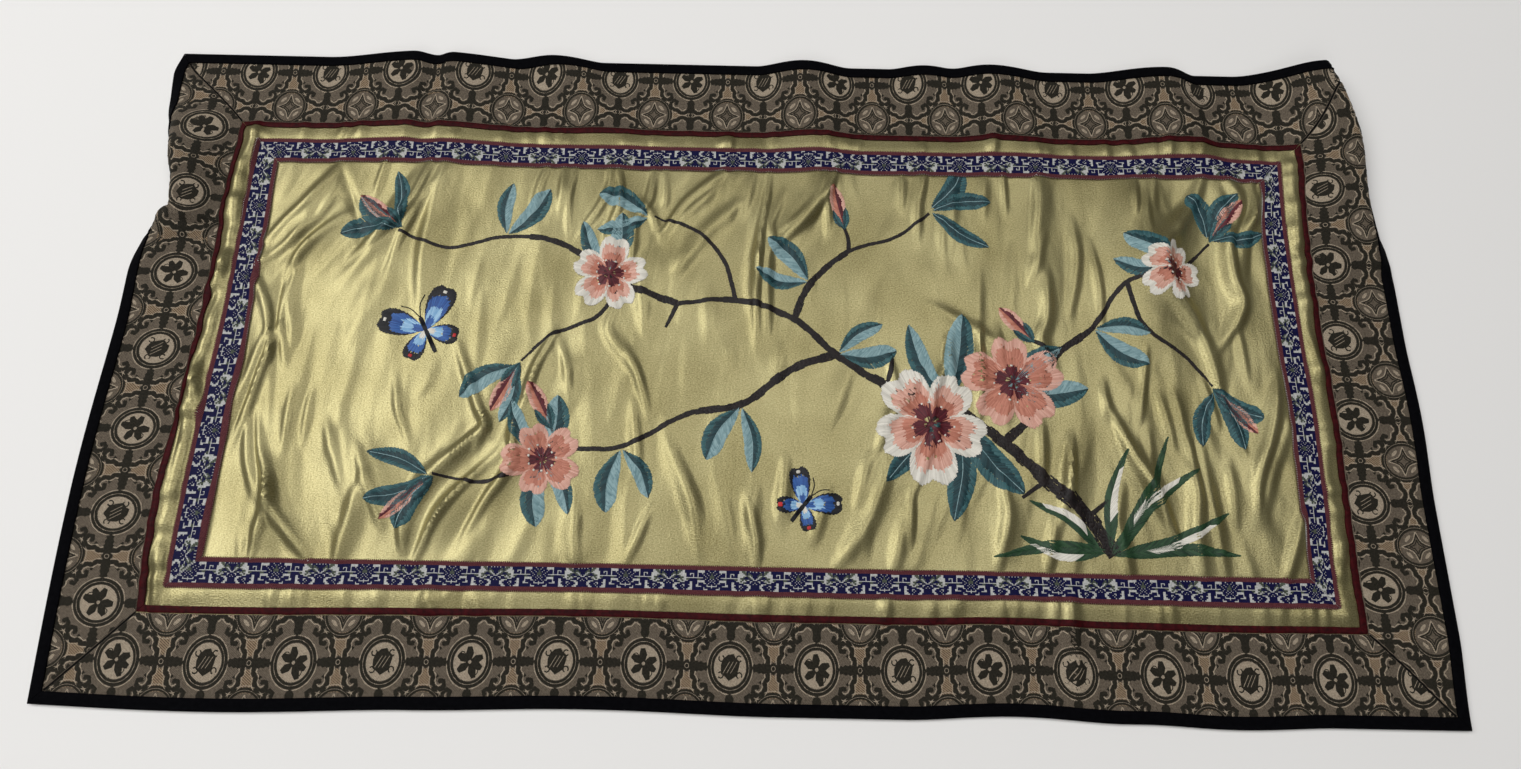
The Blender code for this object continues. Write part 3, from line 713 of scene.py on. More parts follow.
def ribbon_finish(name, deep, pale):
    """Fine woven ribbon."""
    made = Finish(name, 0.6, 0.12)
    threads = made.ribs(0.7, None)
    made.colour(made.mixed(threads, made.noise(1.0, 1.0), 0.7), 0.2, deep, 0.8, pale)
    made.relief(made.math("ADD", threads, made.ribs(None, 0.6)), 0.06, 0.7)
    return made.material


def thread_finish(name, deep, pale):
    """Silk floss: each stitch has its own tint, with fine streaks."""
    made = Finish(name, 0.48, 0.28)
    island = made.node("ShaderNodeNewGeometry").outputs["Random Per Island"]
    grain = made.noise(2.0, 2.0, 3.0)
    made.colour(made.mixed(island, grain, 0.4), 0.15, deep, 0.85, pale)
    made.relief(grain, 0.05, 0.5)
    return made.material


def plain_finish(name, deep, pale, roughness, specular, pitch):
    """Plain cloth with fine ribs."""
    made = Finish(name, roughness, specular)
    threads = made.math("ADD", made.ribs(pitch, None), made.ribs(None, pitch))
    grain = made.noise(3.0, 3.0, 3.0)
    made.colour(grain, 0.3, deep, 0.7, pale)
    made.relief(made.math("ADD", threads, made.math("MULTIPLY", grain, 3.0)), 0.07, 0.8)
    return made.material


# The cloth pieces

SATIN_EDGE = PIPING_OUTER - BROCADE_LAP
BROCADE_INNER = PIPING_OUTER - GAP
BINDING_TOP = THIRD + SHEET
# The binding's section, from under the cloth round its edge, over it and back inside
BINDING_SECTION = (
    (BINDING_INSET, 0.0), (5.0, 0.0), (2.0, 0.0), (0.6, 0.25), (0.0, 1.0),
    (0.0, BINDING_TOP / 2), (0.0, BINDING_TOP - 1.0), (0.6, BINDING_TOP - 0.25),
    (2.0, BINDING_TOP), (5.0, BINDING_TOP), (BINDING_INSET - 0.3, BINDING_TOP),
    (BINDING_INSET, BINDING_TOP - 0.25), (BINDING_INSET, THIRD), (5.0, THIRD), (2.0, THIRD),
    (SHEET, THIRD - 0.4), (SHEET, SECOND), (2.0, SHEET), (5.0, SHEET), (BINDING_INSET, SHEET),
)
# How far the brocade's upper face sinks into a seam and dips at its inner edge, how far the
# piping's edges lie under its flat top, and how high it is crowned from there
SEAM_DEPTH = 0.9
BROCADE_DIP = 0.4
PIPING_DIP = 0.3
PIPING_CROWN = 0.45


def strip(name, side, section, material, slot, nodes, seam=0.0):
    """A closed strip of the frame, mitred at both ends, where its upper face may sink into
    a seam. Its section is a ring of (inset, height) corners."""
    insets, heights = np.array(section, float).T
    longest = half_length(side, insets.min())
    count = int(round(2 * longest / BORDER_STEP)) + 2
    inner_share = 1.0 - SEAM_WIDTH / longest
    shares = np.concatenate([[-1.0], np.linspace(-inner_share, inner_share, count - 1), [1.0]])
    along = shares[:, None] * (half_length(side, insets) - MITRE_TRIM)[None, :]
    u, v = off_side(side, along, np.broadcast_to(insets, along.shape))
    heights = np.tile(heights, (count + 1, 1))
    heights[[0, -1]] -= np.where(heights[0] > SECOND, seam, 0.0)
    flat = np.stack([u, v, heights], -1).reshape(-1, 3)
    size = len(section)
    corner = np.arange(size)
    near = (np.arange(count) * size)[:, None]
    far, beside = near + size, np.roll(corner, -1)
    quads = np.stack([near + corner, near + beside, far + beside, far + corner], -1)
    ends = [corner[::-1].tolist(), (corner + count * size).tolist()]
    faces = quads.reshape(-1, 4).tolist() + ends
    made = dress(name, flat, faces, material, slot, nodes, STRIP_SHARP)
    body = bmesh.new()
    body.from_mesh(made.data)
    bmesh.ops.recalc_face_normals(body, faces=body.faces)
    body.to_mesh(made.data)
    body.free()


def ring_of(insets, tops):
    """A strip's section: its underside over the satin, and back at the heights of its top."""
    tops = np.broadcast_to(tops, len(insets))
    return [(inset, SECOND) for inset in insets] + list(zip(insets, tops))[::-1]


def lay_satin():
    """The satin, to its edge under the brocade."""
    reaches = WIDTH / 2 - SATIN_EDGE, DEPTH / 2 - SATIN_EDGE
    us, vs = (np.linspace(-reach, reach, int(2 * reach / step) + 1)
              for reach, step in zip(reaches, SATIN_STEPS))
    u, v = np.meshgrid(us, vs, indexing="ij")
    flat = np.stack([u, v, np.full_like(u, SHEET)], -1).reshape(-1, 3)
    faces = quads_of(u.shape).tolist()
    dress("satin", flat, faces, satin_finish(), "satin", ("satin_ground",))


def lay_borders():
    """The ribbon, piping, brocade and binding of each side."""
    finishes = {
        "ribbon": ribbon_finish("ribbon ground", (118, 119, 122), (212, 212, 208)),
        "piping": plain_finish("piping satin", (35, 3, 6), (66, 8, 14), 0.55, 0.1, 0.5),
        "brocade": brocade_finish("brocade ground", (47, 40, 33), (130, 118, 103), 1.1),
        "binding": plain_finish("binding cotton", (1, 1, 3), (5, 5, 8), 0.85, 0.05, 0.6),
    }
    shares = np.linspace(0.0, 1.0, 7)
    round_top = TOP - PIPING_DIP + PIPING_CROWN * np.sqrt(1 - (2 * shares - 1) ** 2)
    insets = [SECOND, BINDING_INSET / 2, *np.linspace(BINDING_INSET, BROCADE_INNER - 2.0, 19),
              BROCADE_INNER - 0.6, BROCADE_INNER]
    sections = {
        "ribbon": ring_of(np.linspace(RIBBON_OUTER, RIBBON_OUTER + RIBBON_WIDTH, 11), TOP),
        "piping": ring_of(PIPING_OUTER + PIPING_WIDTH * shares, round_top),
        "brocade": ring_of(insets, [TOP] * (len(insets) - 1) + [TOP - BROCADE_DIP]),
        "binding": BINDING_SECTION,
    }
    for side in SIDES:
        for kind, section in sections.items():
            strip(kind + "_cloth_" + side, side, section, finishes[kind], kind,
                  (kind + "_" + side,), SEAM_DEPTH if kind == "brocade" else 0.0)


# The woven figure of the brocade

# How the figure lies on each strip: the place of a medallion along it, the pitch, the inset
# of the row of medallions, and whether the figure's up is outwards
REPEATS = {
    "bottom": (-17.0, 55.9, 29.5, 1),
    "top": (-3.0, 55.9, 15.0, -1),
    "left": (-2.0, 58.2, 33.5, 1),
    "right": (22.8, 58.6, 47.0, -1),
}
CELL_ALONG = 56.0
CELL_ACROSS = 60.0
TALL = 1.12
# Heights of the figure: its threads, the fine ones on top of them, the flat outlines and
# patches, and how far it runs under the binding and stays off the inner edge
FIGURE_LOW = TOP + 0.04
FIGURE_RISE = 0.28
INLAY_LOW = FIGURE_LOW + 0.2
INLAY_RISE = 0.15
OUTLINE_RISE = 0.2
DISC_HEIGHT = TOP + 0.06
TAN_HEIGHT = TOP + 0.07
KNOT_HEIGHT = TOP + 0.24
PETAL_HEIGHT = TOP + 0.09
FIGURE_UNDER = 1.6
FIGURE_SHORT = 0.3
# The width of the band of painted shade in the mitre seams
SHADE_WIDTH = 1.5

# Parts of the figure round a medallion, as (along, across) points: the two scrolls of a
# quarter, one half of each tan ground and then the whole, and the knot in every other medallion
SCROLL_OUTER = ((24.2, 2.6), (24.6, 5.4), (22.7, 7.7), (23.0, 10.8), (21.2, 13.8), (18.2, 15.0),
                (15.6, 13.8), (15.2, 11.2), (17.2, 10.0), (18.6, 11.4))
SCROLL_UPPER = ((2.4, 23.4), (5.2, 25.2), (8.2, 24.8), (9.8, 23.0), (12.8, 22.6), (15.4, 20.2),
                (15.6, 17.2), (13.6, 15.2), (11.2, 15.8), (11.0, 17.6), (12.4, 18.2))
SCROLL_WIDTHS = (2.6, 3.3, 2.8, 3.4, 2.8, 3.3, 2.7, 3.0, 2.4)
GROUND_ALONG = ((28.0, 3.4), (30.9, 4.2), (32.2, 8.2), (33.6, 12.4), (36.2, 15.6), (37.0, 18.6),
                (33.0, 17.0), (28.0, 16.0))
GROUND_ACROSS = ((5.4, 26.8), (9.4, 25.6), (14.0, 21.8), (15.6, 24.0), (15.0, 26.8))
GROUND_ALONG += tuple((56.0 - x, y) for x, y in GROUND_ALONG[-2:0:-1])
GROUND_ACROSS += tuple((x, 53.6 - y) for x, y in GROUND_ACROSS[-2:0:-1])
KNOT = ((-4.6, 4.6), (-1.6, 7.0), (2.2, 7.6), (3.4, 5.6), (6.4, 3.4), (5.6, -0.6), (4.4, -4.6),
        (1.6, -6.2), (-0.6, -7.4), (-3.2, -5.2), (-5.8, -3.6), (-6.0, 1.2))
LEAF_WIDTHS = (3.0, 5.4, 4.4, 6.8, 5.2, 7.4, 5.6, 7.4, 5.6, 7.8, 5.6, 7.4, 5.6, 7.4, 5.2, 6.8,
               4.4, 5.4, 3.0)
STALK_WIDTHS = (2.6, 4.8, 6.4, 4.4, 6.0, 7.2, 5.2, 7.4, 5.2, 7.2, 6.0, 4.4, 6.4, 4.8, 2.6)


def crowned(heap, line, square, low, rise):
    """A band along a line, three points across with its crest in the middle."""
    points = np.empty((len(line), 3, 3))
    points[..., :2] = line[:, None] + np.array([[-1], [0], [1]]) * square[:, None]
    points[..., 2] = (low, low + rise, low)
    heap.add(points)


def stroke(heap, line, widths, low=FIGURE_LOW, rise=FIGURE_RISE, parts=3, lumps=0.0):
    """A thread along a smooth line. Its width may be one or a row of them, read evenly along
    the line, and may swell in lumps."""
    line = smooth_line(line, parts) if parts > 1 else np.asarray(line, float)
    ends = np.linspace(0, 1, np.size(widths))
    widths = np.interp(np.linspace(0, 1, len(line)), ends, np.atleast_1d(widths))
    widths = widths * (1.0 + lumps * np.where(np.arange(len(line)) % 3 == 1, 1.0, -0.5))
    crowned(heap, line, to_left(ways_along(line)) * widths[:, None] / 2, low, rise)


def ellipse(centre, radius_a, radius_b, count, start=0.0, end=2 * math.pi):
    """Points round an ellipse, from a start to an end in radians."""
    turns = np.linspace(start, end, count + 1)
    return np.stack(
        [centre[0] + radius_a * np.cos(turns), centre[1] + radius_b * np.sin(turns)], -1
    )


def ring(heap, centre, radii, count, width, low=FIGURE_LOW, rise=FIGURE_RISE, lumps=0.0):
    """A thread round an ellipse."""
    stroke(heap, ellipse(centre, *radii, count), width, low, rise, 1, lumps)


def disc(heap, outline, height):
    """A flat patch inside an outline, as a ring of quads round a fan."""
    outline = np.asarray(outline, float)
    if np.allclose(outline[0], outline[-1]):
        outline = outline[:-1]
    count = len(outline)
    middle = outline.mean(axis=0)
    rings = np.concatenate([outline, (outline + middle) / 2, middle[None]])
    points = np.concatenate([rings, np.full((len(rings), 1), height)], -1)
    i = np.arange(count)
    j = (i + 1) % count
    heap.add(points, np.stack([i, j, j + count, i + count], -1))
    heap.add(points[count:], np.stack([i, j, np.full(count, count)], -1))


def medallion(dark, light, tan, centre, has_flower):
    """A ringed disc with a flower or a knot, and the cloud scrolls round it."""

    def at(x, y):
        return centre[0] + x, centre[1] + y * TALL

    def out(radius_a, radius_b, turn):
        return at(radius_a * math.cos(turn), radius_b * math.sin(turn))

    def line(points, mirror_a=1, mirror_b=1):
        return [at(mirror_a * x, mirror_b * y) for x, y in points]

    disc(light, ellipse(centre, 10.4, 10.6 * TALL, 28), DISC_HEIGHT)
    ring(dark, centre, (12.4, 12.7 * TALL), 39, 3.9, lumps=0.05)
    ring(light, centre, (12.3, 12.6 * TALL), 39, 0.4, INLAY_LOW, INLAY_RISE, 0.5)
    ring(light, centre, (14.7, 15.0 * TALL), 39, 0.6, rise=OUTLINE_RISE, lumps=0.4)
    if has_flower:
        for turn in (20, 95, 150, 215, 290, 335):
            reach = 8.7 if turn != 290 else 9.6
            tip = out(reach, reach, math.radians(turn))
            root = out(1.0, 1.0, math.radians(turn))
            stroke(dark, (root, np.add(root, tip) / 2, tip), (2.2, 5.6, 3.0), rise=0.35)
        ring(dark, at(3.5, -5.0), (2.2, 2.8), 14, 0.8, TOP, 0.3)
        ring(dark, at(-5.0, 4.0), (1.7, 2.1), 12, 0.8, TOP, 0.3)
    else:
        disc(dark, line(KNOT), KNOT_HEIGHT)
        for x in (-2.4, 0.0, 2.4):
            bar = (at(x - 2, -3.2), at(x, 0), at(x + 2, 3.2))
            stroke(light, bar, 0.45, TOP + 0.2, INLAY_RISE)
        for turn in (40, 140, 215, 325):
            way = math.radians(turn)
            hook = ellipse(out(7.4, 7.6, way), 1.7, 1.9, 9, way, way + 5.0)
            stroke(dark, hook, 1.1, TOP, 0.34, 1)

    # Leafy bars to the next medallions, then a quarter's scrolls and tan grounds at a time
    high = CELL_ACROSS / TALL
    stroke(dark, (at(14.0, 0), at(28.0, 0), at(42.0, 0)), LEAF_WIDTHS, parts=9)
    ring(light, at(28.0, 0), (1.3, 1.5), 12, 0.35, FIGURE_LOW + 0.26, 0.08)
    stroke(dark, (at(0, 14.4), at(0, high / 2), at(0, high - 14.4)), STALK_WIDTHS, parts=8)
    ring(light, at(0, high / 2), (1.5, 1.7), 12, 0.5, TOP + 0.2, 0.1)
    for mirror in ((-1, -1), (-1, 1), (1, -1), (1, 1)):
        for scroll, outside in ((SCROLL_OUTER, -1), (SCROLL_UPPER, 1)):
            stroke(dark, line(scroll, *mirror), SCROLL_WIDTHS, lumps=0.25)
            for beside, width in ((-2.1, 0.7), (1.9, 0.6)):
                outline = line(offset_line(scroll[:7], beside * outside), *mirror)
                stroke(light, outline, width, rise=OUTLINE_RISE, parts=2, lumps=0.4)
        bud_at = at(mirror[0] * 19.5, mirror[1] * 7.0)
        bud_tip = np.add(bud_at, (mirror[0] * 2.2, mirror[1] * 2.4))
        stroke(dark, (bud_at, bud_tip), (2.6, 1.4), TOP, 0.2)
        if mirror[0] > 0:
            disc(tan, line(GROUND_ALONG, 1, mirror[1]), TAN_HEIGHT)
        if mirror[1] > 0:
            disc(tan, line(GROUND_ACROSS, mirror[0], 1), TAN_HEIGHT)


def offset_line(points, distance):
    """A line beside another one."""
    points = np.asarray(points, float)
    return points + distance * to_left(ways_along(points))


def coin(dark, light, centre):
    """A ringed coin with a hollow-sided square in it, and a petal in each of its corners."""
    ring(dark, centre, (12.4, 12.4 * TALL), 36, 3.6)
    ring(light, centre, (12.3, 12.3 * TALL), 36, 0.35, INLAY_LOW, INLAY_RISE)
    ring(light, centre, (14.6, 14.6 * TALL), 34, 0.6, rise=OUTLINE_RISE)
    for size, width, heap in ((9.6, 0.9, light), (8.4, 1.4, dark), (4.6, 0.8, dark)):
        for quarter in range(4):
            turns = (quarter + np.array([0.0, 0.5, 1.0])) * math.pi / 2
            reach = size * np.array([1.0, 0.44, 1.0])
            path = centre + np.stack([reach * np.cos(turns), reach * np.sin(turns) * TALL], -1)
            stroke(heap, path, width, TOP, 0.26)
    petal_line = ellipse((0.0, 0.0), 1.1, 2.8, 12)
    for quarter in range(4):
        turn = 90.0 * quarter + 45.0
        middle = centre + turned([(7.6, 0.0)], (0.0, 0.0), turn)[0] * (1.0, TALL)
        disc(light, turned(petal_line, middle, turn), PETAL_HEIGHT)


def turned(points, centre, turn):
    """Points turned by some degrees and put round a centre."""
    way = math.radians(turn)
    x, y = np.asarray(points, float).T
    return np.stack([centre[0] + x * math.cos(way) - y * math.sin(way),
                     centre[1] + x * math.sin(way) + y * math.cos(way)], -1)


def clipped(heap, side):
    """What lies on a strip: the figure cut at the binding, the piping and the mitres."""
    points, faces = heap.joined()
    end = half_length(side, 0.0) - MITRE_TRIM - SEAM_WIDTH
    cuts = (
        ((0, BINDING_INSET - FIGURE_UNDER, 0), (0, -1, 0)),
        ((0, BROCADE_INNER - FIGURE_SHORT, 0), (0, 1, 0)),
        ((end, 0, 0), (1, 1, 0)),
        ((-end, 0, 0), (-1, 1, 0)),
    )
    beyond = np.stack([(points - point) @ np.array(outward, float) > 0 for point, outward in cuts])
    body = bmesh.new()
    corners = [body.verts.new(point) for point in points]
    for face in faces:
        if not beyond[:, face].all(axis=1).any():
            body.faces.new([corners[i] for i in face])
    for corner in corners:
        if not corner.link_faces:
            body.verts.remove(corner)
    for point, outward in cuts:
        everything = list(body.verts) + list(body.edges) + list(body.faces)
        bmesh.ops.bisect_plane(body, geom=everything, plane_co=point, plane_no=outward,
                               clear_outer=True)
    body.verts.index_update()
    local = np.array([corner.co[:] for corner in body.verts])
    faces = [[corner.index for corner in face.verts] for face in body.faces]
    body.free()
    return local, faces


def weave_figure():
    """The figure of the brocade on each strip: dark threads, pale outlines and tan grounds,
    and a near-black band of painted shade in the seams at its ends."""
    finishes = {
        "dark": brocade_finish("brocade dark threads", (12, 11, 8), (56, 52, 43)),
        "pale": brocade_finish("brocade pale threads", (108, 97, 83), (200, 184, 162)),
        "tan": brocade_finish("brocade tan ground", (80, 66, 52), (158, 137, 112), 1.9),
    }
    # Near-black colours for the painted shade in the dips of the mitre seams
    shade = brocade_finish("brocade seam shade", (3, 3, 2), (14, 12, 10), 1.0, 0.7)
    for side, (place_along, pitch, row_inset, up) in REPEATS.items():
        parts = {word: Heap() for word in finishes}
        reach = half_length(side, 0.0) + CELL_ALONG
        first = int(-(reach + place_along) // pitch)
        last = int((reach - place_along) // pitch) + 1
        for column in range(first, last):
            for row in (-1, 0, 1):
                centre = np.array([column * CELL_ALONG, row * CELL_ACROSS])
                medallion(*parts.values(), centre, (column + row) % 2)
                coin(parts["dark"], parts["pale"], centre + (CELL_ALONG / 2, CELL_ACROSS / 2))
        for word, heap in parts.items():
            for points in heap.points:
                points[:, 0] = points[:, 0] * (pitch / CELL_ALONG) + place_along
                points[:, 1] = row_inset + up * points[:, 1]
            local, faces = clipped(heap, side)
            if up < 0:
                faces = [face[::-1] for face in faces]
            lay_over("brocade_" + word, side, local, faces, finishes[word], "brocade")
        # A band of painted shade along the dip of each mitre seam, below the brocade's top
        seam = Heap()
        for hand in (-1, 1):
            line = [(hand * (half_length(side, inset) - MITRE_TRIM - SEAM_WIDTH / 2), inset)
                    for inset in np.linspace(BINDING_INSET, PIPING_OUTER - 1.0, 40)]
            stroke(seam, line, SHADE_WIDTH, TOP - 0.5, 0.25, 1, 0.3)
        lay_over("brocade_seam_painted_shade", side, *seam.joined(), shade, "brocade")


# The woven figure of the ribbon

# Half of the ribbon's repeat, from the middle of its flower to the middle of its wings, with
# the inner edge first: # is blue, o is grey green
HALF_REPEAT = (
    "##.##.....########..oo.##.#.#",
    "#.###.....########...oo#o####",
    "o##.##.##.##...##.....o#oo###",
    "o#.##.###.##.#.##......o..o##",
    "oo##.####.##.####....o##o..##",
    "oo#.##.............oo####o..#",
    "#.##.###oo#####oo...o.o..##..",
    ".#.##.....######...o...##..##",
    "#.###.....###..###...o###.##.",
    "##.#..###.###..######....##.#",
    ".##.#####..##...##..###...###",
    "....###....##..###.#.###..###",
    ".####.#######...###.###...###",
    "###...#######....#.###...####",
)
REPEAT_ROWS = [half[:0:-1] + half[:-1] for half in HALF_REPEAT]
RIBBON_PATTERN = 13.2
RIBBON_PITCH = 57.0
RIBBON_CELL = RIBBON_PITCH / len(REPEAT_ROWS[0])
RIBBON_ROW = RIBBON_PATTERN / len(REPEAT_ROWS)
RIBBON_EDGE = (RIBBON_WIDTH - RIBBON_PATTERN) / 2
# The place of a flower along each side
RIBBON_FLOWERS = {"top": 31.8, "bottom": 26.5, "left": -3.7, "right": -0.8}
# How far a run of colour spreads past its cells of the chart, and its least and most length
SPREAD = 0.2
LEAST_RUN = 0.2
MOST_RUN = 2.2 * RIBBON_CELL
PICOT_PITCH = 1.25
PICOT = 0.8
PICOT_WIDTH = 0.7
# Heights across a run of colour and across an edge
RUN_HEIGHTS = TOP + np.array([0.12, 0.2, 0.12])
EDGE_HEIGHTS = TOP + np.array([0.1, 0.3, 0.1])


def ribbon_runs(side, sign):
    """The runs of one sign of the chart on a side, as their starts, ends, and outer and inner
    insets, cut at the mitres."""
    end = half_length(side, RIBBON_OUTER)
    origin = RIBBON_FLOWERS[side] - (len(HALF_REPEAT[0]) - 0.5) * RIBBON_CELL
    first = -int((end + origin) // RIBBON_PITCH) - 1
    last = int((end - origin) // RIBBON_PITCH) + 1
    runs = []
    for k, row in enumerate(REPEAT_ROWS):
        outer = RIBBON_OUTER + RIBBON_EDGE + (len(REPEAT_ROWS) - 1 - k) * RIBBON_ROW
        for run in re.finditer(sign + "+", row):
            for n in range(first, last):
                at = origin + n * RIBBON_PITCH
                runs.append((at + run.start() * RIBBON_CELL - SPREAD,
                             at + run.end() * RIBBON_CELL + SPREAD,
                             outer - SPREAD, outer + RIBBON_ROW + SPREAD))
    starts, ends, outers, inners = np.array(runs).T
    limit = half_length(side, inners) - MITRE_TRIM
    starts, ends = np.clip(starts, -limit, limit), np.clip(ends, -limit, limit)
    kept = ends - starts > LEAST_RUN
    return starts[kept], ends[kept], outers[kept], inners[kept]


def weave_ribbon():
    """The ribbon's blue fret, its grey green touches, and its plum edges with picots."""
    blue = ribbon_finish("ribbon blue", (0, 0, 24), (14, 15, 70))
    green = ribbon_finish("ribbon grey green", (38, 46, 40), (92, 98, 84))
    plum = brocade_finish("ribbon plum", (58, 22, 30), (112, 62, 66), 1.1)
    for side in SIDES:
        for sign, word, finish in (("#", "blue", blue), ("o", "green", green)):
            starts, ends, outers, inners = ribbon_runs(side, sign)
            across = np.stack([outers, (outers + inners) / 2, inners], -1)
            counts = np.ceil((ends - starts) / MOST_RUN).astype(int)
            heap = Heap()
            for parts in np.unique(counts):
                chosen = counts == parts
                spans = (ends - starts)[chosen, None] * np.linspace(0.0, 1.0, parts + 1)
                points = np.empty((*spans.shape, 3, 3))
                points[..., 0] = (starts[chosen, None] + spans)[..., None]
                points[..., 1] = across[chosen, None]
                points[..., 2] = RUN_HEIGHTS
                heap.add(points)
            lay_over("ribbon_" + word, side, *heap.joined(), finish, "ribbon")
        heap = Heap()
        for rim, out in ((RIBBON_OUTER, -1), (RIBBON_OUTER + RIBBON_WIDTH, 1)):
            insets = rim - out * RIBBON_EDGE * np.array([1.0, 0.5, 0.0])
            reach = half_length(side, insets) - MITRE_TRIM
            shares = np.linspace(-1.0, 1.0, int(2 * reach.max() / BORDER_STEP))
            points = np.empty((len(shares), 3, 3))
            points[..., 0] = shares[:, None] * reach[None, :]
            points[..., 1] = insets
            points[..., 2] = EDGE_HEIGHTS
            heap.add(points)
            places = np.arange(-reach[2] + 1.0, reach[2] - 1.0, PICOT_PITCH)
            roots = np.stack([places, np.full_like(places, rim - out * 0.2)], -1)
            tips = np.stack([places + 0.3, np.full_like(places, rim + out * PICOT)], -1)
            stitches(heap, roots, tips, PICOT_WIDTH, TOP - 0.1, 0.3)
        lay_over("ribbon_edges", side, *heap.joined(), plum, "ribbon")


# The embroidery

# A stitch along its length: where its points lie, how high they rise and how wide they are
STITCH_SHARES = np.array([0.0, 0.12, 0.5, 0.88, 1.0])
STITCH_RISES = np.array([0.0, 0.8, 1.0, 0.8, 0.0])
STITCH_WIDTHS = np.array([0.55, 1.0, 1.0, 1.0, 0.55])

# Threads: the colour in the shade and in the light
THREADS = {
    "brown_black": ((9, 5, 6), (26, 15, 15)),
    "teal_dark": ((16, 40, 46), (34, 68, 74)),
    "teal": ((30, 66, 72), (60, 100, 104)),
    "teal_light": ((92, 124, 130), (140, 168, 172)),
    "green": ((16, 40, 26), (44, 76, 48)),
    "white": ((188, 184, 174), (222, 218, 208)),
    "pink": ((184, 134, 118), (214, 170, 154)),
    "coral": ((158, 96, 78), (192, 128, 108)),
    "maroon": ((62, 16, 26), (98, 32, 42)),
    "blue": ((26, 62, 124), (54, 98, 164)),
    "light_blue": ((112, 156, 196), (158, 194, 220)),
    "black": ((6, 6, 10), (22, 22, 28)),
    "red": ((150, 22, 28), (188, 42, 44)),
}
THREAD_WIDTH = 1.15
THREAD_STEP = 0.98
THREAD_RISE = 0.4
BRANCH_ROW = 0.9
PETAL_STEP = 1.1
PETALS = 5
STAMENS = 11
# From this half width on, a leaf has two rows of stitches on each side
WIDE_LEAF = 2.2
TWIG = (3.2, 1.4)
BUD_WIDTH = 11.5
BUD_GROWTH = 1.35
GROUND = SHEET + 0.04

# Branches: the thickness at both ends and the points of the line
BRANCHES = (
    (10.0, 5.0, (238, -134), (222, -108), (196, -84), (168, -58), (128, -30), (88, -18), (52, 4),
     (22, 30), (-20, 44), (-62, 40)),
    (5.0, 2.4, (-62, 40), (-104, 56), (-146, 84), (-190, 90), (-232, 80), (-268, 92)),
    (5.6, 2.4, (52, 4), (20, -8), (-14, -34), (-52, -42), (-96, -66), (-140, -70), (-184, -92),
     (-222, -88)),
    (6.2, 2.4, (168, -58), (196, -30), (206, 4), (236, 28), (262, 62), (300, 72), (328, 96)),
    (4.8, 2.2, (22, 30), (34, 58), (62, 84), (96, 96), (122, 116)),
    (3.0, 1.6, (-104, 56), (-118, 30), (-150, 14), (-170, -6)),
    (3.0, 1.6, (262, 62), (272, 30), (300, 8), (318, -14)),
    (3.0, 1.6, (-20, 44), (-30, 76), (-52, 98), (-82, 108)),
)
# Twigs, from their root to their tip
TWIGS = (
    ((196, -84), (178, -96)), ((88, -18), (92, 4)), ((-62, 40), (-70, 22)), ((206, 4), (192, 18)),
    ((62, 84), (58, 104)), ((-140, -70), (-146, -52)), ((128, -30), (112, -52)),
    ((222, -108), (238, -96)),
)
# Fans of leaves: their middle, the way they point in degrees, the lengths of the leaves, the
# angle over which they spread, and for some the width of a leaf
SPRAYS = (
    ((-268, 94), 142, (34, 30, 32), 130), ((-190, 90), 70, (36, 32), 70),
    ((-222, -90), 200, (36, 34, 30), 120), ((-96, -66), -80, (34, 30), 80),
    ((122, 118), 10, (38, 34, 32), 130), ((328, 98), 60, (30, 32, 28), 150),
    ((-172, -8), 235, (34, 32), 90), ((-84, 108), 175, (32, 30), 80),
    ((318, -16), -70, (32, 34, 28), 110), ((236, 28), -20, (34, 30), 60),
    ((34, 58), 150, (34, 30), 70), ((-14, -34), -100, (34, 36), 80),
    ((138, -40), -95, (52, 54, 50), 130, 19.0), ((128, -30), 95, (50, 46), 70, 18.0),
    ((170, -20), 20, (44, 40), 70, 17.0), ((-112, 62), 100, (36, 34), 70),
    ((-150, -76), 100, (34, 36), 80), ((-150, -76), 285, (34, 32), 60),
    ((294, 70), 150, (32, 30), 60), ((52, 4), 20, (32, 30), 60),
)
LEAF_GROWTH = 1.35
LEAF_WIDTH = 14.5
# Blades of grass: root, tip, width, bow to the left, and which half is white: 1 is the left
GRASSES = (
    ((240, -132), (300, -74), 9, 6, 1), ((238, -134), (318, -104), 9, -5, -1),
    ((236, -134), (282, -52), 8, -4, 0), ((232, -132), (176, -122), 9, 6, 1),
    ((232, -130), (158, -136), 8, -4, 0), ((236, -130), (252, -62), 8, 5, -1),
    ((230, -132), (184, -98), 8, -5, -1), ((242, -134), (322, -132), 9, 4, 0),
)
# Flowers: the middle, the radius, their turn, how high they lie and the threads from inside
BLOOM = ("maroon", "coral", "pink", "white")
DEEP_BLOOM = ("maroon", "coral", "coral", "pink")
BLOSSOMS = (
    ((176, -14), 36, 20, 0.1, DEEP_BLOOM), ((118, -46), 42, 55, 0.35, BLOOM),
    ((-112, 62), 29, 10, 0.2, BLOOM), ((-150, -76), 27, 40, 0.2, DEEP_BLOOM),
    ((294, 70), 24, 0, 0.2, BLOOM),
)
# Buds: the root, and a place on the way to the tip, over which they reach by their growth
BUDS = (
    ((-268, 96), (-292, 114)), ((-224, -92), (-246, -112)), ((330, 100), (346, 122)),
    ((-172, -10), (-184, -34)), ((320, -18), (338, -40)), ((58, 104), (52, 128)),
    ((192, 18), (176, 36)), ((-146, -52), (-158, -30)),
)

heaps = {colour: Heap() for colour in THREADS}
chance = np.random.default_rng(7)


